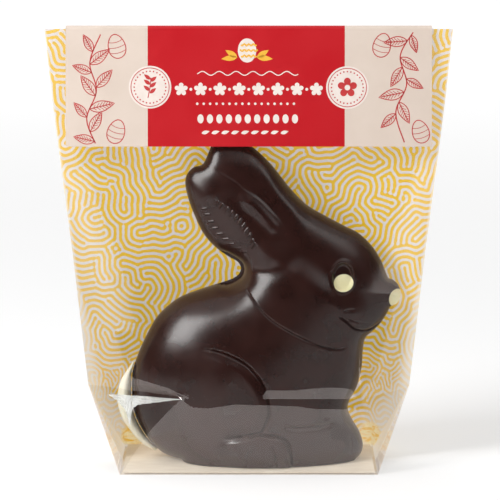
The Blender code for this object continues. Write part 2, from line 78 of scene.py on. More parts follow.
BULGE_RISE = [(-76, 7), (-53, 6.5), (-43, 5.2), (-36, 3.5), (-31, 2.2)]
FRONT_GAP = 5.0
LEFT_LEAN = [(36, 0), (42, 0), (64, 1.8), (140, 0)]
LEFT_LEAN_START = (31, 46)
FILM_COLUMNS = (40, 124)
FILM_ROWS = 190
BACK_COLUMNS = (48, 222)
BACK_ROWS = 308
CREASE_GAP = 0.1
ACROSS = (-96, 96, 241)
ROUNDING = 6
FRONT_ROUNDING = (37, 45)
BACK_ROUNDING = (30, 50)
UPRIGHT = 0.012
FOLD_SLOPE = 0.17
FOLD_TURN = (-0.8, 0.8)
VEIL_TURN = (-0.7, 1.2)
FOLD_BAND = [(-31, 35.2), (-26, 31.6), (-18.5, 31.2), (-7, 33), (5, 32.7), (22, 32.2),
             (32, 30.8), (45, 30.8), (60, 32)]
ABOVE_FOLD = [(-60, 42), (-53, 42), (-43, 39.8), (-31.5, 36), (6, 36), (8, 39.4),
              (22, 39.4), (32, 40.8), (41, 42.6), (47, 41), (50, 36), (60, 36)]

# Waves of the clear film: how many, their lengths, height and tilt, and where they start
WAVE_SEED = 3
WAVE_COUNT = 9
WAVE_LENGTHS = (13, 42)
WAVE_HEIGHT = 0.09
WAVE_TILT = 0.14
WAVE_START = (46, 70)
WAVE_BORDER = 12

# Print on the back of the bag
PRINT_PERIOD = 2.75
PRINT_CELL = 0.55
PRINT_FIELD = 400
PRINT_ORIGIN = 190
PRINT_SEED = 7
PRINT_DRIVE = 0.35
PRINT_ROUNDS = 260
PRINT_NOISE = 0.3
PRINT_PACE = 0.5
PRINT_EDGE = (-0.08, -0.02)
PRINT_MARGIN = [(0, 18), (15, 15), (36, 8.5), (60, 6), (75, 4), (86, 1.6), (204.4, 1)]
PRINT_FADE = (0.1, 1)
PRINT_FAINT = 0.35
PRINT_FOOT = (8, 20)
PRINT_FOOT_SLANT = 0.2
PLEATS = (180, 300, 620)
CRUMPLES = [((-55.5, 6), (9.5, 6)), ((60.5, 6.5), (8.5, 6.5))]
CRUMPLE_EDGE = (0.3, 0.6)
PLEAT_EDGE = (0.35, 0.6)
PLEAT_NOISE = {"Scale": 1, "Detail": 3, "Distortion": 0.8}
CRUMPLE_LIFT = 0.5

# Painted glint at the left corner panel: a whitish patch laid on the film along the fold, standing in for the
# softbox's reflection there, outlined from its top edge to its foot
PINCH_TOP = [(-66, 33.4), (-60.5, 33.9), (-48.8, 34.7), (-39.4, 35.1), (-31.3, 35.6)]
PINCH_FOOT = [(-66, 33.2), (-61.7, 31.2), (-57.8, 28), (-56.3, 24.2), (-55.2, 21.2), (-54.8, 26.1),
              (-54.2, 28.9), (-51.6, 30.8), (-43.4, 32.7), (-31.3, 35.5)]
PINCH_LIFT = 0.4
PINCH_POINTS = (97, 9)

# Header card print
RED_LEFT = -47.1
RED_RIGHT = 44.7
CARD_FACE = -6.822
CARD_LEAN = 0.08892
INK = 0.05
LINE = 0.42
THIN_LINE = 0.26
STEM_LINE = 0.546
UPWARDS = math.pi / 2
LEAF_SPREAD = math.radians(52)
LEAF_WIDTH = 0.42
LEAF_BELLY = 0.8
LEAF_VEINS = (0.16, 0.28, 0.4, 0.52, 0.64, 0.76)
VEIN_REACH = 0.36
EGG_WIDTH = 0.72
EGG_BANDS = (-0.45, 0, 0.45)
EGG_BAND_WIDTH = 0.7
EGG_BAND_SAG = 0.12
EGG_POINT = 0.14
PETALS = 5
PETAL_DEPTH = 0.48
PETAL_BLUNTNESS = 0.7
DOT_EDGE_STEP = 0.3
EGG_EDGE_STEP = 0.4
STEM_STEP = 0.8

# Round badges: a ring and a circle of dots in each, a sprig in the left one, a flower in the right
BADGES = ((-46, 177.6), (45.9, 177.4))
BADGE_SIZE = 9.9
BADGE_STEP = 1.0
BADGE_RING = (8.9, 0.35)
BADGE_DOTS = (7.4, 1.66, 0.36)
SPRIG = ((-1, -5), (0, 0), (0.4, 4.4))
SPRIG_LINE = 0.4
SPRIG_STEP = 0.6
SPRIG_LEAF = (3.8, 1.7)
SPRIG_LEAVES = ((-2.8, 1), (-1.6, -1), (0, 1), (1.2, -1), (2.6, 1), (3.6, -1))
SPRIG_LEAN = 0.05
SPRIG_SPREAD = 0.9
BADGE_FLOWER = 4.6
FLOWER_HEART = 1.3

# Egg between leaves at the header's top, each leaf with its turn and length
EMBLEM = (-0.8, 194.6)
EMBLEM_EGG = (4.3, 5.6)
EMBLEM_STEP = 0.8
EMBLEM_LEAF = (4.6, -3.2)
EMBLEM_LEAVES = ((0.55, 6.5), (-0.1, 7.5))
EMBLEM_LEAF_WIDTH = 2.6
EMBLEM_BANDS = (-2.6, 0, 2.6)
EMBLEM_BAND_WIDTH = 4.1
EMBLEM_BAND_WAVE = (0.45, 3)
EMBLEM_BAND_LINE = 0.8

# Rows across the header's red middle, as places across and height: flowers with dots between
# them, dots, eggs and leaves; and a wavy line above them
FLOWER_ROW = (np.arange(-31.5, 32, 9), 176.6)
BETWEEN_ROW = (FLOWER_ROW[0][:-1] + 4.5, 176.6)
DOT_ROW = (np.arange(-24, 24, 3), 169.9)
EGG_ROW = (np.arange(-22.5, 22, 4.4), 162.9)
LEAF_ROW = (np.arange(-22, 18, 4.6), 156.2)
ROW_FLOWER = 3.1
BETWEEN_DOT = 0.7
ROW_DOT = 0.6
ROW_EGG = (1.45, 2.1)
ROW_LEAF = (3.9, 1.7)
ROW_LEAF_TURN = 0.25
WAVY_ROW = (np.linspace(-24, 23, 120), 184)
WAVY_LINE = (0.9, 0.8, 0.45)

# Line drawings at the header's sides: stems with leaves, as each leaf's place along the stem, its
# side and its length, and eggs, as centre, size and turn
BRANCHES = [
    ([(-71.5, 151.5), (-75.5, 163), (-71, 176), (-74, 189), (-69, 202)],
     [(0.03, 1, 10), (0.12, -1, 11), (0.24, 1, 9), (0.33, -1, 12), (0.45, 1, 11.5), (0.53, -1, 11),
      (0.66, 1, 9.5), (0.74, -1, 11.5), (0.84, 1, 9)]),
    ([(76.5, 203), (70.5, 192), (73.5, 179), (68.5, 166), (72.5, 152)],
     [(0.05, 1, 8.5), (0.1, -1, 11), (0.26, 1, 10.5), (0.34, -1, 10.5), (0.45, 1, 9), (0.56, -1, 12),
      (0.66, 1, 11), (0.76, -1, 9.5)])]
DRAWN_EGGS = [((-61.8, 157), 5.6, -0.3), ((-61.5, 196.5), 5.6, 0.25), ((80, 157), 5.4, 0.3),
              ((62, 197), 5.6, -0.25)]

# Bunny, in millimetres
FOOT_LEVEL = 1.5
SEAM = 0.35
FULLNESS = 0.445
EAR_FULLNESS = 0.38
EAR_ZONE = (106, 122)
EAR_ZONE_SLANT = 0.75
EAR_TIP = (140, 154)
EAR_TIP_THINNING = 0.25
FOOT_TUCK = 0.10
FOOT_TUCK_TOP = 12
RELIEF_START = (0.5, 5)
SKIN_ROUNDS = 4000
SKIN_END = 1e-12
ON_LINE = 1e-3
OUTLINE_STEP = 0.6
LATTICE_STEP = 0.72
RING_DEPTHS = (0.08, 0.3, 0.7, 1.2)
RING_SHARE = 0.93
LATTICE_SHARE = 0.45
EXTRA_CLEARANCE = 0.2
EXTRA_SHARE = 0.5
LINE_STEP = 1.0
DOT_STEP = 0.45
CREASE_ROWS = (0, 0.28, 0.6, 1, 1.5)
CREASE_STEP = 0.55
SOCKET_STEP = 0.55
MERGE_STEP = 0.22
FUR_STEP = 0.2
STROKE_POINTS = (-0.15, 1.15, 10)
STROKE_ROWS = (0, 0.25, 0.5, 0.85)
RIM_SCALES = (0.62, 0.7, 0.78, 0.86, 0.93, 1, 1.06, 1.12, 1.19, 1.28)
DOT_DOME = 0.9
DOT_DOME_REACH = (1.05, 0.02)
GAP = 0.12
TAIL_STEP = 0.7
TAIL_RINGS = (0.1, 0.35)
TAIL_GAP = 0.4
TAIL_TOP = 49

# Colours, as linear values: a darker and a lighter tone, and the specks
DARK = ((0.022, 0.0058, 0.0040), (0.031, 0.0090, 0.0066))
DARK_SPECK = (0.035, 0.016, 0.012)
WHITE = ((0.92, 0.85, 0.51), (0.96, 0.90, 0.58))
# The tail's white chocolate is a greyer, less yellow copy of the dots' tone: painted shade and painted film
# sheen over the tail
TAIL_WHITE_SHADE_AND_SHEEN = ((0.82, 0.78, 0.62), (0.88, 0.84, 0.70))
WHITE_SPECK = (0.92, 0.88, 0.66)
PRINT_GROUND = ((0.44, 0.405, 0.395), (0.47, 0.435, 0.425))
PRINT_YELLOW = ((0.50, 0.31, 0.016), (0.53, 0.335, 0.022))
MILKY = (0.56, 0.53, 0.485)
GOLD = ((0.56, 0.34, 0.035), (0.60, 0.50, 0.29))
HEADER_RED = ((0.48, 0.003, 0.009), (0.50, 0.0045, 0.0105))
HEADER_BEIGE = ((0.66, 0.55, 0.47), (0.69, 0.58, 0.50))
CREAM_INK = ((0.78, 0.68, 0.62), (0.82, 0.73, 0.67))
RED_INK = ((0.50, 0.028, 0.030), (0.53, 0.035, 0.036))
YELLOW_INK = ((0.80, 0.42, 0.03), (0.86, 0.47, 0.05))
CARD = ((0.80, 0.70, 0.57), (0.86, 0.77, 0.64))
CARD_SPECK = (0.74, 0.63, 0.50)
# Painted highlight: the whitish tones of the glint patch on the left fold
GLINT_WHITE = ((0.60, 0.61, 0.59), (0.74, 0.75, 0.73))

# Finishes: scale of clouds and specks and the specks' strength, roughness, and the bump's
# strength and height in metres
DARK_FINISH = ((70, 1500, 0.5), (0.20, 0.27), (0.12, 0.0003))
WHITE_FINISH = ((120, 2200, 0.5), (0.38, 0.5), (0.15, 0.0003))
PRINT_FINISH = ((40, 700, 0.4), (0.35, 0.5), (0.1, 0.0003))
GLINT_FINISH = ((150, 900, 0.4), (0.2, 0.35), (0.1, 0.0003))
INK_FINISH = ((300, 1400, 0.25), (0.42, 0.55), (0.05, 0.0001))
HEADER_FINISH = ((50, 1400, 0.25), (0.42, 0.55), (0.05, 0.0001))
CARD_FINISH = ((90, 1800, 0.35), (0.55, 0.7), (0.2, 0.0003))
CARD_GRAIN = (1, 2.5, 1)
# Painted light: the print glows in its own colour, standing in for light from the bright surroundings that
# passes through the film
PRINT_GLOW = 0.8
# Painted light: the base card glows a little in its own colour, standing in for light reaching it through the
# film
CARD_GLOW = 0.15
DARK_IOR = 1.45
WHITE_DEPTH = 0.15
WHITE_RADIUS = (0.002, 0.0015, 0.001)
HEADER_SHINE = 0.3
# How solid the painted glint patch is
GLINT_ALPHA = 0.82
FILM_MIRROR = 0.087
FILM_GRAZING = 5.0
SHEEN = (1, 0.93, 0.90)
FILM_ROUGHNESS = (0.05, 0.11)
FILM_ROUGH_FROM = (42 * MM, 62 * MM)
FILM_TINT = (0.97, 0.97, 0.965)
SPECK_EDGE = (0.62, 0.78)
SPECK_HEIGHT = 0.35
CLOUD_EDGE = (0.3, 0.7)

# Light
FLOOR_SIZE = 40
FLOOR_WHITE = (0.85, 0.85, 0.85, 1)
FLOOR_GLOW = (0.06, 0.36)
FLOOR_REACH = (0.25, 2.2)
DOME_EDGE = (0.55, 0.85)
BEHIND_EDGE = (0, 0.6)
BEHIND_SHARE = 0.8
WORLD = ((0.025, 0.025, 0.026), (1.2, 1.2, 1.2))
# Each softbox as name, azimuth, elevation, distance, size and power
SOFTBOXES = (("key_softbox", -53, 32, 1.2, (0.46, 0.54), 11.3),
             ("fill_softbox", 50, 40, 1.3, (0.35, 0.5), 1.2))
SOFTBOX_AIM = Vector((0, 0, 0.08))

# Outline of the bunny in the seam plane, clockwise from the left of the far ear's root
FAR_EAR = [(-18.5, 147.4), (-16.8, 151.2), (-13, 153.5), (-8, 154), (-2.6, 152.2),
           (3.9, 147.4), (10.9, 140.5), (19.4, 129.8), (26.9, 122.2), (34.9, 117.3)]
BROW = [(45.2, 111.8), (51.3, 108.7), (57.4, 103), (62.1, 95.9), (65.4, 87.8)]
NOSE = [(67.5, 86.6), (70.1, 84.3), (71.5, 80.7), (71.1, 77.4), (69.4, 75), (66.8, 73.9)]
MUZZLE = [(65.2, 70.8), (62.1, 66), (58.4, 62.2), (55.1, 59.1)]
CHEST = [(53.9, 54.1), (53.2, 44.6), (50.9, 35.4), (47.3, 28.5), (46.9, 24.2)]
PAW = [(49, 19.5), (52.3, 14), (54, 8.1), (53.2, 4), (50.9, FOOT_LEVEL), (46, FOOT_LEVEL)]
RUMP = [(-24, FOOT_LEVEL), (-31.5, FOOT_LEVEL), (-37.5, 2.5), (-42, 4.9), (-46.8, 9.8), (-50.7, 15.4),
        (-53.6, 21.5), (-55, 28), (-55.2, 34.2), (-55, 41.8), (-53.5, 47.5)]
BACK = [(-50.7, 54.9), (-47.6, 61.3), (-43.6, 68.4), (-38.4, 73.8), (-31.9, 78.4),
        (-22.9, 81.9), (-12.6, 85.2), (-7.4, 87.1)]
NAPE = [(-4.4, 89.5), (-3.8, 92.6), (-5.5, 95.2), (-10, 97.8)]
NEAR_EAR = [(-16.4, 102.6), (-21.5, 108.7), (-25.5, 117), (-28.4, 124.9), (-29.8, 132),
            (-28.8, 136.5), (-25.8, 139.6), (-21.5, 141.2)]
TAIL = [(-53.4, 49.2), (-57.2, 43.7), (-60.4, 38.5), (-61.9, 32.3), (-61.7, 26.1),
        (-59.6, 20), (-55.8, 14.2), (-52.3, 10), (-47.8, 6.4), (-43.6, 4.6)]
TAIL_FULLNESS = 1.25

# Relief on the halves, as lines that are cut in or raised
EYE = (43.9, 89.7)
EYE_SOCKET = (5.3, 6.9)
EYE_DOT = (44.2, 86.9)
EYE_DOT_SIZE = (4.6, 3.95)
NOSE_DOT = (69.2, 78.2)
NOSE_DOT_SIZE = (3.3, 4.3)
NOSE_TILT = math.radians(-14)
NECK_LINE = [(-1.3, 84.5), (2.4, 79), (9.5, 71.4), (19.8, 64.8), (33, 58.3), (41.3, 56.2),
             (46.5, 57)]
HAUNCH_LINE = [(-22.5, 57), (-13.8, 55.8), (-3.2, 51.4), (2.9, 46.1), (7, 39.9), (9.2, 31.8),
               (9.2, 26.1), (6.2, 19), (2.9, 17.8), (-7, 16), (-14.6, 13.8)]
FOOT_LINE = [(4.8, 17.8), (12.6, 16.6), (17.5, 14.6), (19.4, 10.6), (20.4, FOOT_LEVEL)]
FOOT_EDGE = [(-16, 12.6), (-7, 15.2), (-1, 16.6)] + FOOT_LINE
TOE_LINE = [(10.5, 12.5), (12.2, 8), (12.6, 4)]
LEG_LINE = [(15.1, 21.8), (21.7, 19.9), (33.5, 20.2), (41.7, 21.5)]
PAW_LINE = [(47.5, 14), (48.6, 9), (48, 5)]
MOUTH_LINE = [(41.5, 72.2), (45.6, 69), (48.5, 66.1), (51.5, 64.5), (56.5, 63.9), (62.3, 67.4)]
LIP_LINE = [(45.6, 70.6), (51, 68.4), (57.5, 67)]
DIMPLE_LINE = [(44, 73.6), (46.6, 74.5), (49.8, 74)]
EAR_EDGE = [(-19.2, 140.4), (-7.9, 134), (-2.3, 129.6), (4.3, 125.4), (10, 119.8), (14.7, 114.6),
            (17.5, 108)]
EAR_RIM = [(-5.5, 127.4), (-1.3, 125.4), (3.4, 121.6), (8.1, 116.6), (12.8, 111.2), (16, 108.2)]
EAR_HOLLOW = [(-20.5, 127), (-13.5, 117.5), (-4, 107.5)]
FAR_RIDGE = [(3.4, 143), (10, 135.2), (16.1, 127.3), (24.1, 119.4), (29.7, 115.8)]
EAR_ROOT = [(-3, 96.5), (6.5, 92.5), (14, 94), (20.5, 98.5), (26, 103)]
FUR_ROW_1 = [(-14.5, 123.6), (-9.3, 120.1), (-4.1, 115.6), (-0.4, 110.4), (2.4, 104.4)]
FUR_ROW_2 = [(-20.9, 121), (-18.2, 115.6), (-13.5, 109.4), (-7.9, 104.6), (-2.4, 101.4)]
FUR_COUNTS = (11, 9)
FUR_SLANTS = (math.radians(57), math.radians(6))
FUR_STROKE = 2.7
EAR_SHIFT = (14.5, 13.5)

# Heights of the relief
FUR_RISE = 0.45
FUR_WIDTH = 0.32
SOCKET_DEPTH = 1.7
SOCKET_FADE = 0.3
SOCKET_RIM = (0.45, 1.06, 0.09)

# Soft lines as line, half width, height and the share that fades out at each end
EAR_RIM_RIDGE = (EAR_RIM, 3, 1.3, 0.25)
FAR_EAR_RIDGE = (FAR_RIDGE, 5, 1, 0.3)
EAR_ROOT_HOLLOW = (EAR_ROOT, 4.2, 1, 0.3)
EAR_HOLLOW_SIZE = (5.5, 1.2, 0.35)

# Widened places of the seam rim as centre, size, width and fade
RIM_PLACES = [((-6, 92), (13, 13), 1.3, 5 / 13), ((-54, 26), (8, 24), 1.1, 0.3)]

# Steps as line, height, width of its edge, reach, width of its far fade, and the fades at both ends
EAR_STEP = (EAR_EDGE, -0.4, 1.6, 24, 16, (0.2, 0.4))
HAUNCH_STEP = (HAUNCH_LINE, 1.3, 5, 45, 40, (0.25, 0.15))
FOOT_STEP = (FOOT_EDGE, 1.8, 2.2, 26, 16, (0.3, 0))

# Creases as line, half width, depth and the share that fades out at each end
CREASES = [(MOUTH_LINE, 0.4, 1, 0.15), (LIP_LINE, 0.35, 0.35, 0.2), (DIMPLE_LINE, 0.5, 0.35, 0.3),
           (NECK_LINE, 0.4, 0.55, 0.08), (HAUNCH_LINE, 0.5, 0.9, 0.1), (FOOT_LINE, 0.45, 0.8, 0.1),
           (TOE_LINE, 0.45, 0.7, 0.15), (LEG_LINE, 1, 1.1, 0.2), (PAW_LINE, 0.5, 0.7, 0.15)]


def curve_points(keys, step, closed=False):
    """Points about one step apart on a smooth curve through the key points."""
    keys = np.array(keys, float)
    count = len(keys)
    points = []
    for i in range(count if closed else count - 1):
        if closed:
            a, b, c, d = (keys[(i + k) % count] for k in (-1, 0, 1, 2))
        else:
            a, b, c, d = keys[max(i - 1, 0)], keys[i], keys[i + 1], keys[min(i + 2, count - 1)]
        steps = max(1, round(np.linalg.norm(c - b) / step))
        for t in np.arange(steps) / steps:
            points.append(0.5 * (2 * b + (c - a) * t + (2 * a - 5 * b + 4 * c - d) * t ** 2
                                 + (3 * b - a - 3 * c + d) * t ** 3))
    if not closed:
        points.append(keys[-1])
    return np.array(points)


def nearest(points, line, closed=False):
    """Each point's distance from a polyline, how far along it, 0 to 1, and its side of it.

    The side is +1 to the left of the line's direction and -1 to the right.
    """
    ends = np.vstack([line, line[:1]]) if closed else line
    best = np.full(len(points), 1e9)
    along = np.zeros(len(points))
    side = np.ones(len(points))
    count = len(ends) - 1
    for i, (a, b) in enumerate(zip(ends[:-1], ends[1:])):
        span, offset = b - a, points - a
        t = np.clip((offset @ span) / (span @ span), 0, 1)
        gap = np.linalg.norm(offset - t[:, None] * span, axis=1)
        closer = gap < best - 1e-9
        best[closer] = gap[closer]
        along[closer] = (i + t[closer]) / count
        side[closer] = np.sign(span[0] * offset[closer, 1] - span[1] * offset[closer, 0])
    return best, along, side


def line_distance(points, line, closed=False):
    """Each point's distance from a polyline."""
    return nearest(points, line, closed)[0]


def inside(points, loop):
    """Whether each point lies within a closed loop."""
    hit = np.zeros(len(points), bool)
    x, z = points[:, 0], points[:, 1]
    for a, b in zip(loop, np.roll(loop, -1, axis=0)):
        if a[1] == b[1]:
            continue
        crosses = (a[1] > z) != (b[1] > z)
        hit ^= crosses & (x < a[0] + (z - a[1]) * (b[0] - a[0]) / (b[1] - a[1]))
    return hit


def ease(value, low, high):
    """0 below low, 1 above high, and a smooth rise between them."""
    t = np.clip((value - low) / (high - low), 0, 1)
    return t * t * (3 - 2 * t)


def read_off(value, keys):
    """Reads a value off a line through key points."""
    return np.interp(value, *np.array(keys).T)


def oval_reach(p, centre, size):
    """0 at the middle of an ellipse and 1 at its edge."""
    return np.hypot((p[:, 0] - centre[0]) / size[0], (p[:, 1] - centre[1]) / size[1])


def oval(centre, size, step, tilt=0.0):
    """A closed loop of points round an ellipse."""
    count = max(12, round(2 * math.pi * max(size) / step))
    turn = np.arange(count) * 2 * math.pi / count
    x, z = size[0] * np.cos(turn), size[1] * np.sin(turn)
    c, s = math.cos(tilt), math.sin(tilt)
    return np.column_stack([centre[0] + c * x - s * z, centre[1] + s * x + c * z])


def faded(along, start, end):
    """1 along a line, falling to 0 at its start and its end over the given shares of it."""
    rise = ease(along, 0, start)
    return rise * ease(1 - along, 0, end) if end else rise


def tapered(p, keys, width, height, fade):
    """A soft line of the given half width, fading out at its ends."""
    gap, along, _ = nearest(p, curve_points(keys, LINE_STEP))
    return height * np.exp(-(gap / width) ** 2) * faded(along, fade, fade)


def stepped(p, keys, height, rise, reach, fade, ends, turn=1):
    """A step along a line: what lies to its right stands higher, out to its reach."""
    gap, along, side = nearest(p, curve_points(keys, LINE_STEP))
    shape = ease(gap, 0, rise) * ease(reach - gap, 0, fade) * faded(along, *ends)
    return height * (side * turn < 0) * shape


def outline():
    """The bunny's outline as one closed loop, flat at its foot."""
    loop = curve_points(FAR_EAR + BROW + NOSE + MUZZLE + CHEST + PAW + RUMP + BACK + NAPE + NEAR_EAR,
                        OUTLINE_STEP, closed=True)
    loop[:, 1] = np.maximum(loop[:, 1], FOOT_LEVEL)
    return loop


def ear_lines(half):
    """The front ear's hollow and fur rows, on the ear that is in front on this half."""
    shift = np.zeros(2) if half < 0 else np.array(EAR_SHIFT)
    return [np.array(line) + shift for line in (EAR_HOLLOW, FUR_ROW_1, FUR_ROW_2)]


def fur_strokes(half):
    """Short strokes along both fur rows: steep in the first row, flatter in the second."""
    _, row_1, row_2 = ear_lines(half)
    strokes = []
    for row, slant, count in zip((row_1, row_2), FUR_SLANTS, FUR_COUNTS):
        path = curve_points(row, FUR_STEP)
        places = path[np.linspace(0, len(path) - 1, count).round().astype(int)]
        reach = FUR_STROKE / 2 * np.array([math.cos(slant), math.sin(slant)])
        strokes += [np.array([place - reach, place + reach]) for place in places]
    return strokes


def relief(p, half):
    """Height added to the rounded form, outwards from the seam, in millimetres."""
    hollow, _, _ = ear_lines(half)
    height = stepped(p, *EAR_STEP, half)
    height += tapered(p, *EAR_RIM_RIDGE) * (half < 0)
    height += tapered(p, *FAR_EAR_RIDGE)
    height -= tapered(p, hollow, *EAR_HOLLOW_SIZE)
    height -= tapered(p, *EAR_ROOT_HOLLOW)
    for stroke in fur_strokes(half):
        height += FUR_RISE * np.exp(-(line_distance(p, stroke) / FUR_WIDTH) ** 2)

    socket = oval_reach(p, EYE, EYE_SOCKET)
    rim, place, width = SOCKET_RIM
    height -= SOCKET_DEPTH * ease(1.0 - socket, 0, SOCKET_FADE)
    height += rim * np.exp(-((socket - place) / width) ** 2)

    height += stepped(p, *HAUNCH_STEP) + stepped(p, *FOOT_STEP)
    for crease in CREASES:
        height -= tapered(p, *crease)
    return height


def ear_zone(p):
    """1 over the ears and 0 over the rest of the bunny."""
    return ease(p[:, 1] + EAR_ZONE_SLANT * p[:, 0], *EAR_ZONE)


def flange(p):
    """Width of the thin seam rim: broad at the nape and beside the tail, nothing elsewhere."""
    return sum(width * ease(1 - oval_reach(p, centre, size), 0, fade)
               for centre, size, width, fade in RIM_PLACES)


def membrane(p, triangles, fixed):
    """Height squared of a skin blown up over the outline: it solves a membrane's equation."""
    a, b, c = (p[triangles[:, k]] for k in range(3))
    area = 0.5 * np.abs((b[:, 0] - a[:, 0]) * (c[:, 1] - a[:, 1]) - (b[:, 1] - a[:, 1]) * (c[:, 0] - a[:, 0]))
    count = len(p)
    rows, cols, weights = [], [], []
    for k in range(3):
        i, j, o = (triangles[:, (k + s) % 3] for s in range(3))
        u, v = p[i] - p[o], p[j] - p[o]
        cotangent = (u * v).sum(1) / (4 * np.maximum(area, 1e-6))
        rows += [i, j]
        cols += [j, i]
        weights += [cotangent, cotangent]
    rows, cols, weights = (np.concatenate(part) for part in (rows, cols, weights))
    diagonal = np.bincount(rows, weights, count)
    fixed = fixed | (diagonal <= 0)
    diagonal[fixed] = 1
    load = 4 * np.bincount(triangles.ravel(), np.repeat(area / 3, 3), count)
    load[fixed] = 0

    def stiffness(u):
        out = diagonal * u - np.bincount(rows, weights * u[cols], count)
        out[fixed] = 0
        return out

    u = np.zeros(count)
    residual = load.copy()
    scaled = residual / diagonal
    search = scaled.copy()
    strength = target = residual @ scaled
    for _ in range(SKIN_ROUNDS):
        product = stiffness(search)
        move = strength / (search @ product)
        u += move * search
        residual -= move * product
        scaled = residual / diagonal
        fresh = residual @ scaled
        if fresh < SKIN_END * target:
            break
        search = scaled + fresh / strength * search
        strength = fresh
    return np.maximum(u, 0)


def fill_points(loop, step, ring_depths, extra):
    """Points for a fine mesh inside a loop: rings near its edge, a lattice, and extra ones."""
    ahead, behind = np.roll(loop, -1, axis=0), np.roll(loop, 1, axis=0)
    along = ahead - behind
    normal = np.column_stack([along[:, 1], -along[:, 0]]) / np.linalg.norm(along, axis=1)[:, None]
    points = [loop]
    for depth in ring_depths:
        ring = loop + normal * depth
        gap = line_distance(ring, loop, closed=True)
        points.append(ring[(gap > RING_SHARE * depth) & inside(ring, loop)])
    low, high = loop.min(0), loop.max(0)
    xs = np.arange(low[0], high[0], step)
    zs = np.arange(low[1], high[1], step * math.sqrt(0.75))
    x, z = np.meshgrid(xs, zs)
    x[1::2] += step / 2
    lattice = np.column_stack([x.ravel(), z.ravel()])
    gap = line_distance(lattice, loop, closed=True)
    lattice = lattice[inside(lattice, loop) & (gap > max(ring_depths) + LATTICE_SHARE * step)]
    if len(extra):
        gap = line_distance(extra, loop, closed=True)
        extra = extra[inside(extra, loop) & (gap > max(ring_depths) + EXTRA_CLEARANCE)]
        tree = KDTree(len(extra))
        for i, (x, z) in enumerate(extra.tolist()):
            tree.insert((x, z, 0), i)
        tree.balance()
        free = [tree.find((x, z, 0))[2] > EXTRA_SHARE * step for x, z in lattice.tolist()]
        points += [extra, lattice[np.array(free)]]
    else:
        points.append(lattice)
    return np.vstack(points)


def triangulate(points, loops):
    """Triangles over all the points, with every loop kept as a chain of edges."""
    edges = []
    start = 0
    for loop in loops:
        count = len(loop)
        edges += [(start + i, start + (i + 1) % count) for i in range(count)]
        start += count
    cloud = [Vector(point) for point in np.vstack(list(loops) + [points]).tolist()]
    verts, _, faces, _, _, _ = delaunay_2d_cdt(cloud, edges, [], 0, 1e-4)
    return np.array([tuple(v) for v in verts]), np.array([tuple(f) for f in faces])


def feature_points():
    """Rows of mesh points along the creases, the ear's edge, the fur strokes and the eye's socket."""
    rows = []
    for keys in [line for line, _, _, _ in CREASES] + [EAR_EDGE, FOOT_EDGE]:
        rows += beside(curve_points(keys, CREASE_STEP), CREASE_ROWS)
    for half in (-1, 1):
        for start, end in fur_strokes(half):
            path = start + np.linspace(*STROKE_POINTS)[:, None] * (end - start)
            rows += beside(path, STROKE_ROWS)
    for scale in RIM_SCALES:
        rows.append(oval(EYE, (EYE_SOCKET[0] * scale, EYE_SOCKET[1] * scale), SOCKET_STEP))
    points = np.vstack(rows)
    _, first = np.unique(np.round(points / MERGE_STEP), axis=0, return_index=True)
    return points[np.sort(first)]


def beside(path, offsets):
    """Rows of points along a path and at given distances to both sides of it."""
    along = np.gradient(path, axis=0)
    normal = np.column_stack([-along[:, 1], along[:, 0]]) / np.linalg.norm(along, axis=1)[:, None]
    return [path + side * offset * normal for offset in offsets for side in (-1, 1)]


def shell_mesh(name, p, triangles, front, back):
    """A closed mesh from two skins over the same triangles, joined by a wall at the border."""
    used = np.unique(triangles)
    index = {old: new for new, old in enumerate(used.tolist())}
    count = len(used)
    verts = [(p[i, 0], -front[i], p[i, 1]) for i in used] + [(p[i, 0], back[i], p[i, 1]) for i in used]
    faces = []
    edges = {}
    for triangle in triangles.tolist():
        a, b, c = (index[i] for i in triangle)
        faces.append((a, b, c))
        faces.append((c + count, b + count, a + count))
        for edge in ((a, b), (b, c), (c, a)):
            edges[edge] = edges.get(edge, 0) + 1
    for a, b in edges:
        if (b, a) not in edges:
            faces.append((b, a, a + count, b + count))
    mesh = bpy.data.meshes.new(name)
    mesh.from_pydata([tuple(MM * value for value in vert) for vert in verts], [], faces)
    return mesh


def heights(p, triangles, seam, half):
    """Distance of one half's surface from the seam plane, at each point."""
    fixed = seam | (seam_distance(p) < flange(p))
    fullness = FULLNESS + (EAR_FULLNESS - FULLNESS) * ear_zone(p)
    fullness *= 1 - EAR_TIP_THINNING * ease(p[:, 1], *EAR_TIP)
    tuck = 1 - FOOT_TUCK * ease(FOOT_TUCK_TOP - p[:, 1], 0, FOOT_TUCK_TOP) ** 2
    skin = fullness * tuck * np.sqrt(membrane(p, triangles, fixed))
    return np.maximum(skin + relief(p, half) * ease(skin, *RELIEF_START), SEAM)


def seam_distance(p):
    """Distance from the outline, apart from its flat foot."""
    loop = outline()
    floor = np.flatnonzero(loop[:, 1] < FOOT_LEVEL + 1e-6)
    open_line = np.roll(loop, -floor[-1], axis=0)[:len(loop) - len(floor) + 2]
    return line_distance(p, open_line)


def dress(piece, skin, node=None, sharp=50):
    """Gives a piece its material and its body, and hides the solid of the node that it stands for."""
    piece.data.materials.clear()
    piece.data.materials.append(skin)
    piece.data.shade_smooth()
    piece.data.set_sharp_from_angle(angle=math.radians(sharp))
    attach(piece, "root")
    if node:
        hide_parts(node)


def moulded(name, skin, node, p, triangles, front, back):
    """A moulded piece of chocolate in place of its solid."""
    piece = bpy.data.objects.new(name, shell_mesh(name, p, triangles, front, back))
    bpy.context.scene.collection.objects.link(piece)
    dress(piece, skin, node)


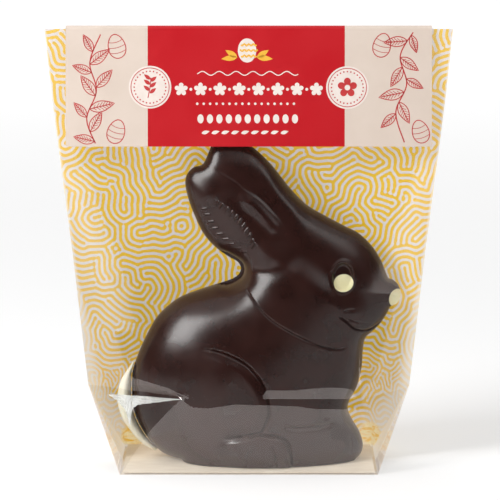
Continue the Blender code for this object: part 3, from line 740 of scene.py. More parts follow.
def bunny(dark, white):
    """The moulded body with its eye and nose dots, from one fine triangulation."""
    loop = outline()
    eye = oval(EYE_DOT, EYE_DOT_SIZE, DOT_STEP)
    nose = oval(NOSE_DOT, NOSE_DOT_SIZE, DOT_STEP, NOSE_TILT)
    nose_inner = oval(NOSE_DOT, [size + GAP for size in NOSE_DOT_SIZE], DOT_STEP, NOSE_TILT)
    p, triangles = triangulate(fill_points(loop, LATTICE_STEP, RING_DEPTHS, feature_points()),
                               [loop, eye, nose, nose_inner])
    centres = p[triangles].mean(1)
    within = inside(centres, loop)
    triangles, centres = triangles[within], centres[within]
    seam = seam_distance(p) < ON_LINE
    near = heights(p, triangles, seam, -1)
    far = heights(p, triangles, seam, 1)
    body = triangles[~inside(centres, nose_inner)]
    moulded("bunny_body_moulded", dark, "bunny_body", p, body, near, far)
    moulded("nose_dot_moulded", white, "nose_dot", p, triangles[inside(centres, nose)], near, far)
    dots = triangles[inside(centres, eye)]
    reach, least = DOT_DOME_REACH
    rise = DOT_DOME * np.sqrt(np.clip(reach - oval_reach(p, EYE_DOT, EYE_DOT_SIZE) ** 2, least, 1))
    moulded("eye_near_moulded", white, "eye_near", p, dots, near + GAP + rise, -near - GAP)
    moulded("eye_far_moulded", white, "eye_far", p, dots, -far - GAP, far + GAP + rise)


def tail(white):
    """The white tail, a crescent blown up between its own edge and the body's."""
    rump = np.array(RUMP[3:][::-1])
    inner = curve_points([(x - TAIL_GAP, z) for x, z in rump if z < TAIL_TOP], OUTLINE_STEP)
    outer = curve_points(TAIL[::-1], OUTLINE_STEP)
    loop = np.vstack([inner[3:-3], outer[2:-2]])
    p, triangles = triangulate(fill_points(loop, TAIL_STEP, TAIL_RINGS, []), [loop])
    triangles = triangles[inside(p[triangles].mean(1), loop)]
    edge = line_distance(p, loop, closed=True) < ON_LINE
    skin = np.maximum(TAIL_FULLNESS * np.sqrt(membrane(p, triangles, edge)), SEAM)
    moulded("tail_moulded", white, "tail", p, triangles, skin, skin)


def front_depths(x, zs):
    """Depth of the bag's front from the middle plane, at each height and each place across.

    Its slope is set first: nearly upright where the film mirrors the floor, leaning back
    where it looks clear. The slopes, summed up the face, give the depth.
    """
    fold_foot, veil_top = read_off(x, FOLD_BAND), read_off(x, ABOVE_FOLD)
    rise = zs[1] - zs[0]
    span = HEADER_FOOT - FOLD_HEIGHT
    depths = [np.full(len(x), FLOOR_DEPTH)]
    for z in zs[1:] - rise / 2:
        s = (z - FOLD_HEIGHT) / span
        if z < FOLD_HEIGHT:
            slope = UPRIGHT + (FOLD_SLOPE - UPRIGHT) * ease(z - fold_foot, *FOLD_TURN)
        else:
            tent = TENT * math.pi * math.cos(math.pi * min(s, 1))
            lean = (FOLD_DEPTH - HEADER_FOOT_DEPTH - tent) / span
            slope = UPRIGHT + (lean - UPRIGHT) * ease(z - veil_top, *VEIL_TURN)
        depths.append(depths[-1] - slope * rise)
    return settle(np.array(depths), zs)


def back_depths(x, zs):
    """Depth of the bag's back: a plain upright foot, then a gentle lean to the mouth."""
    s = np.clip((zs - FOLD_HEIGHT) / (HEADER_FOOT - FOLD_HEIGHT), 0, 1)
    lean = FOLD_DEPTH + (HEADER_FOOT_DEPTH - FOLD_DEPTH) * s + TENT * np.sin(math.pi * s)
    foot = FLOOR_DEPTH + (FOLD_DEPTH - FLOOR_DEPTH) * zs / FOLD_HEIGHT
    return settle(np.repeat(np.where(zs < FOLD_HEIGHT, foot, lean)[:, None], len(x), axis=1), zs)


def settle(depths, zs):
    """Brings every column to the same depth at the header's foot, and closes the mouth above it."""
    foot = np.searchsorted(zs, HEADER_FOOT)
    miss = depths[foot] - HEADER_FOOT_DEPTH
    z = zs[:, None]
    depths = depths - miss * ease(z, MOUTH_START, HEADER_FOOT)
    above = (z - HEADER_FOOT) / (BAG_TOP - HEADER_FOOT)
    mouth = HEADER_FOOT_DEPTH + (MOUTH_DEPTH - HEADER_FOOT_DEPTH) * above
    return np.where(z > HEADER_FOOT, mouth, depths)


def spread(points, count):
    """Points evenly spaced along a polyline."""
    points = np.array(points, float)
    run = np.concatenate([[0], np.cumsum(np.linalg.norm(np.diff(points, axis=0), axis=1))])
    at = np.linspace(0, run[-1], count)
    return np.column_stack([np.interp(at, run, points[:, k]) for k in range(2)])


def sheet_points(depths, corners, columns, rows, lens_gap, lens_rise, bulging=False):
    """Rows of points from the left side crease round the face to the right one."""
    side_count, face_count = columns
    zs = np.linspace(0, BAG_TOP, rows + 1)
    x_line = np.linspace(*ACROSS)
    field = depths(x_line, zs)
    fold_crease = np.interp(FOLD_HEIGHT, LEVELS, SIDE_CREASE)
    turns = [read_off(FOLD_HEIGHT, corner) / fold_crease for corner in corners]
    grid = np.zeros((rows + 1, 2 * side_count + face_count + 1, 3))
    for row, z in enumerate(zs):
        crease = np.interp(z, LEVELS, SIDE_CREASE)
        left, right = (read_off(z, corner) for corner in corners)
        gusset = CREASE_GAP + max(0.0, FLOOR_DEPTH * (1 - z / FOLD_HEIGHT))
        face_x = np.linspace(-left, right, face_count + 1)
        face = np.column_stack([face_x, np.interp(face_x, x_line, field[row])])
        left_side = spread([(-crease, CREASE_GAP), (-crease, gusset), face[0]], side_count + 1)
        right_side = spread([face[-1], (crease, gusset), (crease, CREASE_GAP)], side_count + 1)
        ring = np.vstack([left_side[:-1], face, right_side[1:]])
        depth = np.interp(ring[:, 0], x_line, field[row])
        if z > FOLD_HEIGHT:
            across = ring[:, 0] / crease
            shape = fold_shape(across, turns)
            if bulging:
                shape += left_bulge(ring, across, turns, z)
            share = np.clip((z - FOLD_HEIGHT - lens_gap) / lens_rise, 0, 1)
            shape += (1 - np.abs(across) ** LENS_POWER - shape) * share
            ring[:, 1] = np.maximum(depth * shape, CREASE_GAP)
        grid[row, :, :2] = ring
        grid[row, :, 2] = z
    return grid


def fold_shape(across, turns):
    """Depth of the face along the fold, as a share of its greatest, from one side crease to the other."""
    left, right = turns
    chord = np.where(across < 0, (1 + across) / (1 - left), (1 - across) / (1 - right))
    return np.clip(chord, 0, 1)


def left_bulge(ring, across, turns, z):
    """The film's swelling just above the left corner panel."""
    beyond = np.clip((-turns[0] - across) / (1 - turns[0]), 0, 1)
    swelling = np.where(across < 0, beyond - beyond ** BEND_POWER, 0)
    return swelling * ease(z - FOLD_HEIGHT, 0, read_off(ring[:, 0], BULGE_RISE))


def soften(grid, between):
    """Rounds the face's corners, more and more from the first height to the second."""
    weight = ease(grid[:, 1:-1, 2:], *between)
    for _ in range(ROUNDING):
        mean = 0.5 * grid[:, 1:-1, :2] + 0.25 * (grid[:, :-2, :2] + grid[:, 2:, :2])
        grid[:, 1:-1, :2] += weight * (mean - grid[:, 1:-1, :2])


def waves(grid):
    """Soft wrinkles: a sum of slow waves whose crests run mostly up and down."""
    rng = np.random.default_rng(WAVE_SEED)
    total = np.zeros(grid.shape[:2])
    for _ in range(WAVE_COUNT):
        turn = rng.normal(0, WAVE_TILT)
        length = rng.uniform(*WAVE_LENGTHS)
        phase = 2 * math.pi * (grid[:, :, 0] * math.cos(turn) + grid[:, :, 2] * math.sin(turn)) / length
        start = rng.uniform(0, 2 * math.pi)
        total += WAVE_HEIGHT * length / WAVE_LENGTHS[1] * np.sin(phase + start)
    return total


def laid_out(name, places):
    """A grid primitive whose points are moved to the given places, in millimetres."""
    rows, columns, _ = places.shape
    bpy.ops.object.select_all(action="DESELECT")
    bpy.ops.mesh.primitive_grid_add(x_subdivisions=columns - 1, y_subdivisions=rows - 1, size=1)
    piece = bpy.context.object
    piece.name = piece.data.name = name
    piece.data.vertices.foreach_set("co", (places * MM).ravel())
    piece.data.update()
    return piece


def film_front(skin):
    """The clear front and sides; returns its points, with depths counted forwards."""
    grid = sheet_points(front_depths, (LEFT_CORNER, RIGHT_CORNER), FILM_COLUMNS, FILM_ROWS, FRONT_GAP,
                        FRONT_RISE, bulging=True)
    lean = read_off(grid[:, :, 2], LEFT_LEAN) * ease(-grid[:, :, 0], *LEFT_LEAN_START)
    grid[:, :, 1] = np.maximum(grid[:, :, 1] - lean, CREASE_GAP)
    soften(grid, FRONT_ROUNDING)
    strength = ease(grid[:, :, 2], *WAVE_START) * ease(HEADER_FOOT - grid[:, :, 2], 0, WAVE_BORDER)
    strength *= ease(SIDE_CREASE[2] - np.abs(grid[:, :, 0]), 0, WAVE_BORDER)
    grid[:, :, 1] += waves(grid) * strength
    dress(laid_out("film_front", grid * (1, -1, 1)), skin, "film_bag", sharp=20)
    return grid


def painted_glint_patch(grid, skin):
    """A painted glint: a whitish patch laid just off the film where the left corner panel meets the fold
    line, in place of the softbox's reflection there.
    """
    columns, rows = PINCH_POINTS
    x = np.linspace(PINCH_TOP[0][0], PINCH_TOP[-1][0], columns)
    top, foot = read_off(x, PINCH_TOP), read_off(x, PINCH_FOOT)
    z = foot + (top - foot) * np.linspace(0, 1, rows)[:, None]
    level = np.searchsorted(grid[:, 0, 2], z)
    places = np.zeros((rows, columns, 3))
    for row in range(rows):
        for column in range(columns):
            film = grid[level[row, column]]
            depth = np.interp(x[column], film[:, 0], film[:, 1]) + PINCH_LIFT
            places[row, column] = x[column], -depth, z[row, column]
    dress(laid_out("painted_glint_patch", places), skin, "film_bag")


def film_back(skin):
    """The printed sheet, with the winding print's field and its strength kept at each point."""
    grid = sheet_points(back_depths, (BACK_CORNER, BACK_CORNER), BACK_COLUMNS, BACK_ROWS, 0, BACK_RISE)
    soften(grid, BACK_ROUNDING)
    places = grid[:, ::-1]
    sheet = laid_out("film_back", places)
    x, z = places[:, :, 0], places[:, :, 2]
    around = np.cumsum(np.linalg.norm(np.diff(places, axis=1, prepend=places[:, :1]), axis=2), axis=1)
    around = around[:, x.shape[1] // 2, None] - around
    inwards = np.interp(z, LEVELS, SIDE_CREASE) - np.abs(x)
    ink = PRINT_FAINT + (1 - PRINT_FAINT) * ease(inwards / read_off(z, PRINT_MARGIN), *PRINT_FADE)
    ink *= ease(z + PRINT_FOOT_SLANT * np.abs(x), *PRINT_FOOT)
    crumple = sum(np.exp(-((around - centre[0]) / size[0]) ** 2 - ((z - centre[1]) / size[1]) ** 2)
                  for centre, size in CRUMPLES)
    winding = sample(winding_field(), around / PRINT_CELL + PRINT_ORIGIN, z / PRINT_CELL + PRINT_ORIGIN)
    for name, values in (("winding", winding), ("ink", ink), ("crumple", crumple)):
        layer = sheet.data.attributes.new(name, "FLOAT", "POINT")
        layer.data.foreach_set("value", values.ravel().astype(np.float32))
    dress(sheet, skin, "film_bag")


def winding_field():
    """A field of winding stripes: noise that grows into even lines of one width."""
    count = PRINT_FIELD
    rng = np.random.default_rng(PRINT_SEED)
    wave = 2 * math.pi * np.fft.fftfreq(count, PRINT_CELL)
    ring = (wave[:, None] ** 2 + wave[None, :] ** 2) * (PRINT_PERIOD / (2 * math.pi)) ** 2
    growth = PRINT_DRIVE - (1 - ring) ** 2
    field = rng.normal(0, PRINT_NOISE, (count, count))
    for _ in range(PRINT_ROUNDS):
        pushed = np.fft.fft2(field - PRINT_PACE * field ** 3)
        field = np.real(np.fft.ifft2(pushed / (1 - PRINT_PACE * growth)))
    return field / np.abs(field).max()


def sample(field, x, z):
    """Values of a field between its cells, wrapped at its edges."""
    i, j = np.floor(x).astype(int), np.floor(z).astype(int)
    a, b = x - i, z - j
    count = len(field)
    corner = [field[(i + di) % count, (j + dj) % count] for di in (0, 1) for dj in (0, 1)]
    return (corner[0] * (1 - a) * (1 - b) + corner[1] * (1 - a) * b + corner[2] * a * (1 - b)
            + corner[3] * a * b)


def on_card(flat, lift):
    """Places on the header's front face, lifted off it by the ink's layer."""
    x, z = flat.T
    return np.column_stack([x, CARD_FACE + (z - HEADER_FOOT) * CARD_LEAN - lift, z])


def printed_shape(edge, lift=INK):
    """A flat printed field inside the given edge, which runs anticlockwise."""
    bpy.ops.mesh.primitive_circle_add(vertices=len(edge), radius=1, fill_type="NGON")
    field = bpy.context.object
    field.data.vertices.foreach_set("co", (on_card(edge, lift) * MM).ravel())
    field.data.update()
    return field


def printed_line(path, width, lift=INK):
    """A flat printed stroke along a path."""
    path = np.array(path, float)
    run = np.gradient(path, axis=0)
    run /= np.linalg.norm(run, axis=1)[:, None]
    side = np.column_stack([-run[:, 1], run[:, 0]]) * width / 2
    edges = np.vstack([path - side, path + side])
    return laid_out("stroke", on_card(edges, lift).reshape(2, -1, 3))


def turned(shape, centre, turn):
    """A flat shape turned about its origin and moved to its centre."""
    c, s = math.cos(turn), math.sin(turn)
    return np.array(centre) + shape @ np.array([[c, s], [-s, c]])


def round_edge(centre, radius, step):
    """A closed loop of points round a circle."""
    return oval(centre, (radius, radius), step)


def leaf_edge(length, width):
    """A pointed leaf from its stalk at the origin to its tip along X."""
    t = np.linspace(0, 1, 13)
    belly = width / 2 * np.sin(math.pi * t ** LEAF_BELLY)
    lower, upper = (np.column_stack([t * length, side * belly]) for side in (-1, 1))
    return np.vstack([lower, upper[-2:0:-1]])


def petal_edge(radius):
    """A five-petalled flower."""
    turn = np.linspace(0, 2 * math.pi, 60, endpoint=False)
    lobes = np.abs(np.cos(PETALS / 2 * turn)) ** PETAL_BLUNTNESS
    reach = radius * (1 - PETAL_DEPTH + PETAL_DEPTH * lobes)
    return np.column_stack([reach * np.cos(turn), reach * np.sin(turn)])


def closed_line(edge, width, lift=INK):
    """A flat printed stroke round a closed edge."""
    return printed_line(np.vstack([edge, edge[:1]]), width, lift)


def drawn_leaf(base, turn, length):
    """A leaf in line work: its edge, its middle rib and slanting veins."""
    width = length * LEAF_WIDTH
    rib = length * np.array([(0.0, 0.0), (0.5, 0.0), (0.92, 0.0)])
    pieces = [closed_line(turned(leaf_edge(length, width), base, turn), LINE),
              printed_line(turned(rib, base, turn), LINE)]
    for share in LEAF_VEINS:
        reach = VEIN_REACH * width * math.sin(math.pi * share ** LEAF_BELLY)
        for side in (-1, 1):
            vein = np.array([(share * length, 0.0), (share * length + reach, side * reach)])
            pieces.append(printed_line(turned(vein, base, turn), THIN_LINE))
    return pieces


def drawn_egg(centre, size, turn):
    """An egg in line work, with three curved bands."""
    angle = np.linspace(0, 2 * math.pi, 30, endpoint=False)
    across = EGG_WIDTH * size * np.cos(angle) * (1 - EGG_POINT * np.sin(angle))
    edge = np.column_stack([across, size * np.sin(angle)])
    pieces = [closed_line(turned(edge, centre, turn), LINE)]
    for level in EGG_BANDS:
        half = EGG_BAND_WIDTH * size * math.sqrt(1 - level ** 2) * (1 - EGG_POINT * level)
        x = np.linspace(-half, half, 12)
        band = np.column_stack([x, size * (level - EGG_BAND_SAG * np.cos(x / half * math.pi / 2))])
        pieces.append(printed_line(turned(band, centre, turn), THIN_LINE))
    return pieces


def drawn_branch(keys, leaves):
    """A stem with leaves to either side; each leaf is its place along the stem, its side and length."""
    stem = curve_points(keys, STEM_STEP)
    pieces = [printed_line(stem, STEM_LINE)]
    for share, side, length in leaves:
        at = round(share * (len(stem) - 2))
        run = stem[at + 1] - stem[at]
        pieces += drawn_leaf(stem[at], math.atan2(run[1], run[0]) + side * LEAF_SPREAD, length)
    return pieces


def joined(name, pieces, skin):
    """Joins printed pieces, with a copy of them on the header's back."""
    bpy.ops.object.select_all(action="DESELECT")
    for piece in pieces:
        piece.select_set(True)
    bpy.context.view_layer.objects.active = pieces[0]
    bpy.ops.object.join()
    front = bpy.context.object
    bpy.ops.object.duplicate()
    back = bpy.context.object
    places = np.zeros(3 * len(back.data.vertices))
    back.data.vertices.foreach_get("co", places)
    back.data.vertices.foreach_set("co", (places.reshape(-1, 3) * (-1, -1, 1)).ravel())
    front.select_set(True)
    bpy.ops.object.join()
    whole = bpy.context.object
    whole.name = whole.data.name = name
    dress(whole, skin)


def badges():
    """Two round badges, as their pale discs and what is drawn on them in red."""
    ring, ring_line = BADGE_RING
    circle, step, dot = BADGE_DOTS
    discs, drawn = [], []
    for centre in BADGES:
        discs.append(printed_shape(round_edge(centre, BADGE_SIZE, BADGE_STEP)))
        drawn.append(closed_line(round_edge(centre, ring, BADGE_STEP), ring_line, 2 * INK))
        for place in round_edge(centre, circle, step):
            drawn.append(printed_shape(round_edge(place, dot, DOT_EDGE_STEP), 2 * INK))
    left, right = BADGES
    drawn.append(printed_line(curve_points(np.array(SPRIG) + left, SPRIG_STEP), SPRIG_LINE, 2 * INK))
    for level, side in SPRIG_LEAVES:
        base = (left[0] + SPRIG_LEAN * level, left[1] + level)
        leaf = turned(leaf_edge(*SPRIG_LEAF), base, UPWARDS - side * SPRIG_SPREAD)
        drawn.append(printed_shape(leaf, 2 * INK))
    drawn.append(printed_shape(turned(petal_edge(BADGE_FLOWER), right, UPWARDS), 2 * INK))
    discs.append(printed_shape(round_edge(right, FLOWER_HEART, EGG_EDGE_STEP), 3 * INK))
    return discs, drawn


def emblem():
    """An egg between leaves, as the pale egg and its yellow leaves and bands."""
    x, z = EMBLEM
    egg = printed_shape(oval(EMBLEM, EMBLEM_EGG, EMBLEM_STEP))
    yellow = []
    for side in (-1, 1):
        base = (x + side * EMBLEM_LEAF[0], z + EMBLEM_LEAF[1])
        for turn, length in EMBLEM_LEAVES:
            leaf = turned(leaf_edge(length, EMBLEM_LEAF_WIDTH), base, turn if side > 0 else math.pi - turn)
            yellow.append(printed_shape(leaf))
    wave, pace = EMBLEM_BAND_WAVE
    for level in EMBLEM_BANDS:
        half = EMBLEM_BAND_WIDTH * math.sqrt(1 - (level / EMBLEM_EGG[1]) ** 2)
        across = np.linspace(-half, half, 15)
        band = np.column_stack([across, z + level + wave * np.cos(across * pace)])
        yellow.append(printed_line(band, EMBLEM_BAND_LINE, 2 * INK))
    return egg, yellow


def header_art(cream, red, yellow):
    """Badges, flowers, leaves and eggs printed on the header, the same on its front and its back."""
    discs, drawn = badges()
    egg, leaves_and_bands = emblem()
    for keys, leaves in BRANCHES:
        drawn += drawn_branch(keys, leaves)
    for centre, size, turn in DRAWN_EGGS:
        drawn += drawn_egg(centre, size, turn)
    joined("header_pale_print", discs + motif_rows() + [egg], cream)
    joined("header_red_print", drawn, red)
    joined("header_yellow_print", leaves_and_bands, yellow)


def motif_rows():
    """Rows of flowers, dots, eggs and leaves, and a wavy line, across the header's red middle."""
    origin = (0, 0)
    rows = ((FLOWER_ROW, turned(petal_edge(ROW_FLOWER), origin, UPWARDS)),
            (BETWEEN_ROW, round_edge(origin, BETWEEN_DOT, DOT_EDGE_STEP)),
            (DOT_ROW, round_edge(origin, ROW_DOT, DOT_EDGE_STEP)),
            (EGG_ROW, oval(origin, ROW_EGG, EGG_EDGE_STEP)),
            (LEAF_ROW, turned(leaf_edge(*ROW_LEAF), origin, ROW_LEAF_TURN)))
    pieces = [printed_shape(edge + (x, z)) for (places, z), edge in rows for x in places]
    x, z = WAVY_ROW
    height, pace, width = WAVY_LINE
    pieces.append(printed_line(np.column_stack([x, z + height * np.sin(x * pace)]), width))
    return pieces


def bag_floor(skin):
    """The block bottom of the bag, under the card."""
    columns, rows = FLOOR_POINTS
    x = np.linspace(-SIDE_CREASE[0], SIDE_CREASE[0], columns)
    y = np.linspace(-FLOOR_DEPTH, FLOOR_DEPTH, rows)
    places = np.stack([*np.meshgrid(x, y), np.full((rows, columns), FLOOR_LIFT)], axis=2)
    dress(laid_out("bag_floor", places), skin, "film_bag")


def add_node(tree, kind, values=None, **settings):
    """A shader node with its settings, and its inputs as values or as links."""
    node = tree.nodes.new("ShaderNode" + kind)
    for key, value in settings.items():
        setattr(node, key, value)
    for key, value in (values or {}).items():
        if isinstance(value, bpy.types.NodeSocket):
            tree.links.new(value, node.inputs[key])
        else:
            node.inputs[key].default_value = value
    return node


def math_node(tree, operation, *values):
    return add_node(tree, "Math", dict(enumerate(values)), operation=operation).outputs[0]


def blend(tree, factor, a, b):
    """A mix of two colours, which are links or triples."""
    a, b = ((*colour, 1) if isinstance(colour, tuple) else colour for colour in (a, b))
    return add_node(tree, "Mix", {0: factor, 6: a, 7: b}, data_type="RGBA").outputs[2]


def ramp(tree, value, edge):
    """0 below the edge's first value, 1 above its second."""
    return add_node(tree, "MapRange", {0: value, 1: edge[0], 2: edge[1]},
                    interpolation_type="SMOOTHSTEP").outputs[0]


def object_place(tree, stretch=(1, 1, 1)):
    """The place on the piece in its own coordinates, stretched by a scale for each axis."""
    place = add_node(tree, "TexCoord").outputs["Object"]
    return add_node(tree, "VectorMath", {0: place, 1: stretch}, operation="MULTIPLY").outputs[0]


def surface_marks():
    """Cloudy tone, fine specks and a shallow height, for everything that was cast or printed."""
    tree = bpy.data.node_groups.new("surface_marks", "ShaderNodeTree")
    for label, value in (("Cloud Scale", 60.0), ("Speck Scale", 900.0), ("Speck Amount", 0.3)):
        tree.interface.new_socket(label, in_out="INPUT", socket_type="NodeSocketFloat").default_value = value
    stretch = tree.interface.new_socket("Stretch", in_out="INPUT", socket_type="NodeSocketVector")
    stretch.default_value = (1, 1, 1)
    for label in ("Cloud", "Specks", "Height"):
        tree.interface.new_socket(label, in_out="OUTPUT", socket_type="NodeSocketFloat")
    inner, outer = (tree.nodes.new(kind) for kind in ("NodeGroupInput", "NodeGroupOutput"))
    place = object_place(tree, inner.outputs["Stretch"])
    cloud, speck = (add_node(tree, "TexNoise",
                             {"Vector": place, "Scale": inner.outputs[scale], "Detail": detail}).outputs[0]
                    for scale, detail in (("Cloud Scale", 4.0), ("Speck Scale", 2.0)))
    specks = math_node(tree, "MULTIPLY", ramp(tree, speck, SPECK_EDGE), inner.outputs["Speck Amount"])
    height = math_node(tree, "ADD", cloud, math_node(tree, "MULTIPLY", speck, SPECK_HEIGHT))
    for label, value in (("Cloud", ramp(tree, cloud, CLOUD_EDGE)), ("Specks", specks), ("Height", height)):
        tree.links.new(value, outer.inputs[label])
    return tree


def new_material(name):
    """A new material, as itself, its nodes and its shader."""
    skin = bpy.data.materials.new(name)
    skin.use_nodes = True
    return skin, skin.node_tree, skin.node_tree.nodes["Principled BSDF"]


def coat(name, marks, finish, stretch=(1, 1, 1)):
    """A new material with its surface marks, and the roughness and bump that follow them."""
    (cloud, speck, amount), (low, high), (strength, distance) = finish
    skin, tree, shader = new_material(name)
    node = add_node(tree, "Group", node_tree=marks)
    for label, value in (("Cloud Scale", cloud), ("Speck Scale", speck), ("Speck Amount", amount),
                         ("Stretch", stretch)):
        node.inputs[label].default_value = value
    rough = add_node(tree, "MapRange", {0: node.outputs["Cloud"], 3: low, 4: high})
    bump = add_node(tree, "Bump",
                    {"Height": node.outputs["Height"], "Strength": strength, "Distance": distance})
    tree.links.new(rough.outputs[0], shader.inputs["Roughness"])
    tree.links.new(bump.outputs[0], shader.inputs["Normal"])
    return skin, tree, shader, node


def paint(tree, shader, colour, glow=0.0):
    """Links a colour to the shader, and where a glow is given, makes it glow in that colour: painted light,
    in place of light coming through from the bright surroundings.
    """
    tree.links.new(colour, shader.inputs["Base Color"])
    if glow:
        tree.links.new(colour, shader.inputs["Emission Color"])
        shader.inputs["Emission Strength"].default_value = glow


def toned(name, marks, finish, tones, speck=None, glow=0.0, stretch=(1, 1, 1)):
    """A whole material in two tones that drift, with specks where their colour is given."""
    skin, tree, shader, node = coat(name, marks, finish, stretch)
    colour = blend(tree, node.outputs["Cloud"], *tones)
    if speck:
        colour = blend(tree, node.outputs["Specks"], colour, speck)
    paint(tree, shader, colour, glow)
    return skin, shader


def dark_chocolate(marks):
    """Glossy dark chocolate with a slight bloom."""
    skin, shader = toned("dark_chocolate_gloss", marks, DARK_FINISH, DARK, DARK_SPECK)
    shader.inputs["IOR"].default_value = DARK_IOR
    return skin


def white_chocolate(marks, name, tones):
    """Satin white chocolate, which lets a little light in."""
    skin, shader = toned(name, marks, WHITE_FINISH, tones, WHITE_SPECK)
    shader.inputs["Subsurface Weight"].default_value = WHITE_DEPTH
    shader.inputs["Subsurface Radius"].default_value = WHITE_RADIUS
    return skin


def clear_film():
    """Clear film: seen through, with a mirror that grows towards grazing angles."""
    skin, tree, shader = new_material("clear_film_sheet")
    tree.nodes.remove(shader)
    facing = add_node(tree, "LayerWeight", {"Blend": 0.5}).outputs["Facing"]
    grazing = math_node(tree, "POWER", facing, FILM_GRAZING)
    mirror = math_node(tree, "ADD", math_node(tree, "MULTIPLY", grazing, 1 - FILM_MIRROR), FILM_MIRROR)
    clear = add_node(tree, "BsdfTransparent", {"Color": (*FILM_TINT, 1)})
    height = add_node(tree, "SeparateXYZ", {0: object_place(tree)}).outputs["Z"]
    (low, high), (foot, top) = FILM_ROUGHNESS, FILM_ROUGH_FROM
    rough = add_node(tree, "MapRange", {0: height, 1: foot, 2: top, 3: low, 4: high})
    gloss = add_node(tree, "BsdfGlossy", {"Color": (*SHEEN, 1), "Roughness": rough.outputs[0]})
    mixed = add_node(tree, "MixShader", {0: mirror, 1: clear.outputs[0], 2: gloss.outputs[0]})
    tree.links.new(mixed.outputs[0], tree.nodes["Material Output"].inputs["Surface"])
    return skin


def printed_film(marks):
    """The back's print: winding lines that fade to milky film at the sides, and gold crumples."""
    skin, tree, shader, node = coat("printed_film_sheet", marks, PRINT_FINISH)
    field, ink, crumple = (add_node(tree, "Attribute", attribute_name=name).outputs["Fac"]
                           for name in ("winding", "ink", "crumple"))
    ground, yellow = (blend(tree, node.outputs["Cloud"], *tones) for tones in (PRINT_GROUND, PRINT_YELLOW))
    colour = blend(tree, ramp(tree, field, PRINT_EDGE), ground, yellow)
    colour = blend(tree, ink, MILKY, colour)
    pleats = add_node(tree, "TexNoise", {"Vector": object_place(tree, PLEATS), **PLEAT_NOISE}).outputs[0]
    gold = blend(tree, ramp(tree, pleats, PLEAT_EDGE), *GOLD)
    patch = math_node(tree, "MULTIPLY", crumple, math_node(tree, "ADD", pleats, CRUMPLE_LIFT))
    patch = ramp(tree, patch, CRUMPLE_EDGE)
    # The print glows in its own colour: painted light, standing in for light through the film from behind
    paint(tree, shader, blend(tree, patch, colour, gold), PRINT_GLOW)
    height = math_node(tree, "ADD", node.outputs["Height"], math_node(tree, "MULTIPLY", patch, pleats))
    tree.links.new(height, tree.nodes["Bump"].inputs["Height"])
    return skin


def painted_glint_material(marks):
    """Whitish, partly clear film: a painted highlight that stands in for the softbox's reflection on the
    fold.
    """
    skin, shader = toned("painted_glint_film", marks, GLINT_FINISH, GLINT_WHITE)
    shader.inputs["Alpha"].default_value = GLINT_ALPHA
    return skin


def header_print(marks):
    """The header's fields of colour: a red middle between two beige sides."""
    skin, tree, shader, node = coat("header_print_card", marks, HEADER_FINISH)
    across = add_node(tree, "SeparateXYZ", {0: object_place(tree)}).outputs["X"]
    right_of = math_node(tree, "GREATER_THAN", across, RED_LEFT * MM)
    left_of = math_node(tree, "LESS_THAN", across, RED_RIGHT * MM)
    red, beige = (blend(tree, node.outputs["Cloud"], *tones) for tones in (HEADER_RED, HEADER_BEIGE))
    paint(tree, shader, blend(tree, math_node(tree, "MULTIPLY", right_of, left_of), beige, red))
    shader.inputs["Specular IOR Level"].default_value = HEADER_SHINE
    return skin


def aimed(name, data, place, away):
    """Puts a camera or a lamp at a place, looking back against the direction away."""
    thing = bpy.data.objects.new(name, data)
    thing.location = place
    thing.rotation_mode = "QUATERNION"
    thing.rotation_quaternion = (-away).to_track_quat("-Z", "Y")
    bpy.context.scene.collection.objects.link(thing)
    return thing


def camera():
    """The camera at the photograph's viewing angle."""
    away = Vector((0, -math.cos(CAMERA_RISE), math.sin(CAMERA_RISE)))
    data = bpy.data.cameras.new("camera")
    data.sensor_width = SENSOR
    data.lens = SENSOR * CAMERA_DISTANCE / (PICTURE * PIXEL)
    data.clip_start, data.clip_end = CLIP
    place = MM * (Vector(PICTURE_CENTRE) + away * CAMERA_DISTANCE)
    bpy.context.scene.camera = aimed("camera", data, place, away)


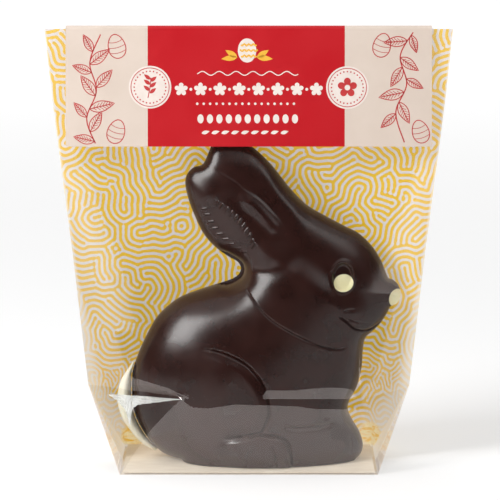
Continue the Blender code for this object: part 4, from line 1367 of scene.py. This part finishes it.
def floor_stage():
    """A pale floor that glows a little more, far from the pack."""
    bpy.ops.object.select_all(action="DESELECT")
    bpy.ops.mesh.primitive_plane_add(size=FLOOR_SIZE)
    ground = bpy.context.object
    ground.name = "studio_floor"
    skin, tree, shader = new_material("studio_floor_white")
    for label, value in (("Base Color", FLOOR_WHITE), ("Roughness", 1.0), ("Specular IOR Level", 0.0),
                         ("Emission Color", (1, 1, 1, 1))):
        shader.inputs[label].default_value = value
    away = add_node(tree, "VectorMath", {0: object_place(tree)}, operation="LENGTH").outputs["Value"]
    (near, far), (low, high) = FLOOR_REACH, FLOOR_GLOW
    glow = add_node(tree, "MapRange", {0: away, 1: near, 2: far, 3: low, 4: high}).outputs[0]
    tree.links.new(glow, shader.inputs["Emission Strength"])
    ground.data.materials.append(skin)


def softbox(name, azimuth, elevation, distance, size, power):
    """An area light that faces the pack; azimuth 0 is at the camera and 90 at its right."""
    a, e = math.radians(azimuth), math.radians(elevation)
    away = Vector((math.sin(a) * math.cos(e), -math.cos(a) * math.cos(e), math.sin(e)))
    data = bpy.data.lights.new(name, "AREA")
    data.shape = "RECTANGLE"
    data.size, data.size_y = size
    data.energy = power
    aimed(name, data, away * distance + SOFTBOX_AIM, away)


def studio_world():
    """A bright dome above, darker round the camera's own height."""
    world = bpy.data.worlds.new("studio")
    world.use_nodes = True
    tree = world.node_tree
    place = add_node(tree, "TexCoord").outputs["Generated"]
    split = add_node(tree, "SeparateXYZ", {0: place})
    behind = math_node(tree, "MULTIPLY", ramp(tree, split.outputs["Y"], BEHIND_EDGE), BEHIND_SHARE)
    light = math_node(tree, "MAXIMUM", ramp(tree, split.outputs["Z"], DOME_EDGE), behind)
    tree.links.new(blend(tree, light, *WORLD), tree.nodes["Background"].inputs["Color"])
    bpy.context.scene.world = world


def main():
    """Sets the studio, then makes the bunny, its bag and the header's print."""
    bpy.context.scene.view_settings.view_transform = "Standard"
    camera()
    floor_stage()
    studio_world()
    for values in SOFTBOXES:
        softbox(*values)
    marks = surface_marks()
    bunny(dark_chocolate(marks), white_chocolate(marks, "white_chocolate_gloss", WHITE))
    # The tail's own tone carries painted shade and painted sheen
    tail(white_chocolate(marks, "white_chocolate_tail_shade_and_sheen", TAIL_WHITE_SHADE_AND_SHEEN))
    film = clear_film()
    # The whitish patch on the fold is a painted glint
    painted_glint_patch(film_front(film), painted_glint_material(marks))
    bag_floor(film)
    film_back(printed_film(marks))
    inks = (("cream_ink", CREAM_INK), ("red_ink", RED_INK), ("yellow_ink", YELLOW_INK))
    header_art(*(toned(name, marks, INK_FINISH, tones)[0] for name, tones in inks))
    # The base card's glow is painted light
    card, _ = toned("base_card_stock", marks, CARD_FINISH, CARD, CARD_SPECK, CARD_GLOW, CARD_GRAIN)
    for node, skin in (("base_card", card), ("header_card", header_print(marks))):
        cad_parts[node].data.materials[0] = skin


main()
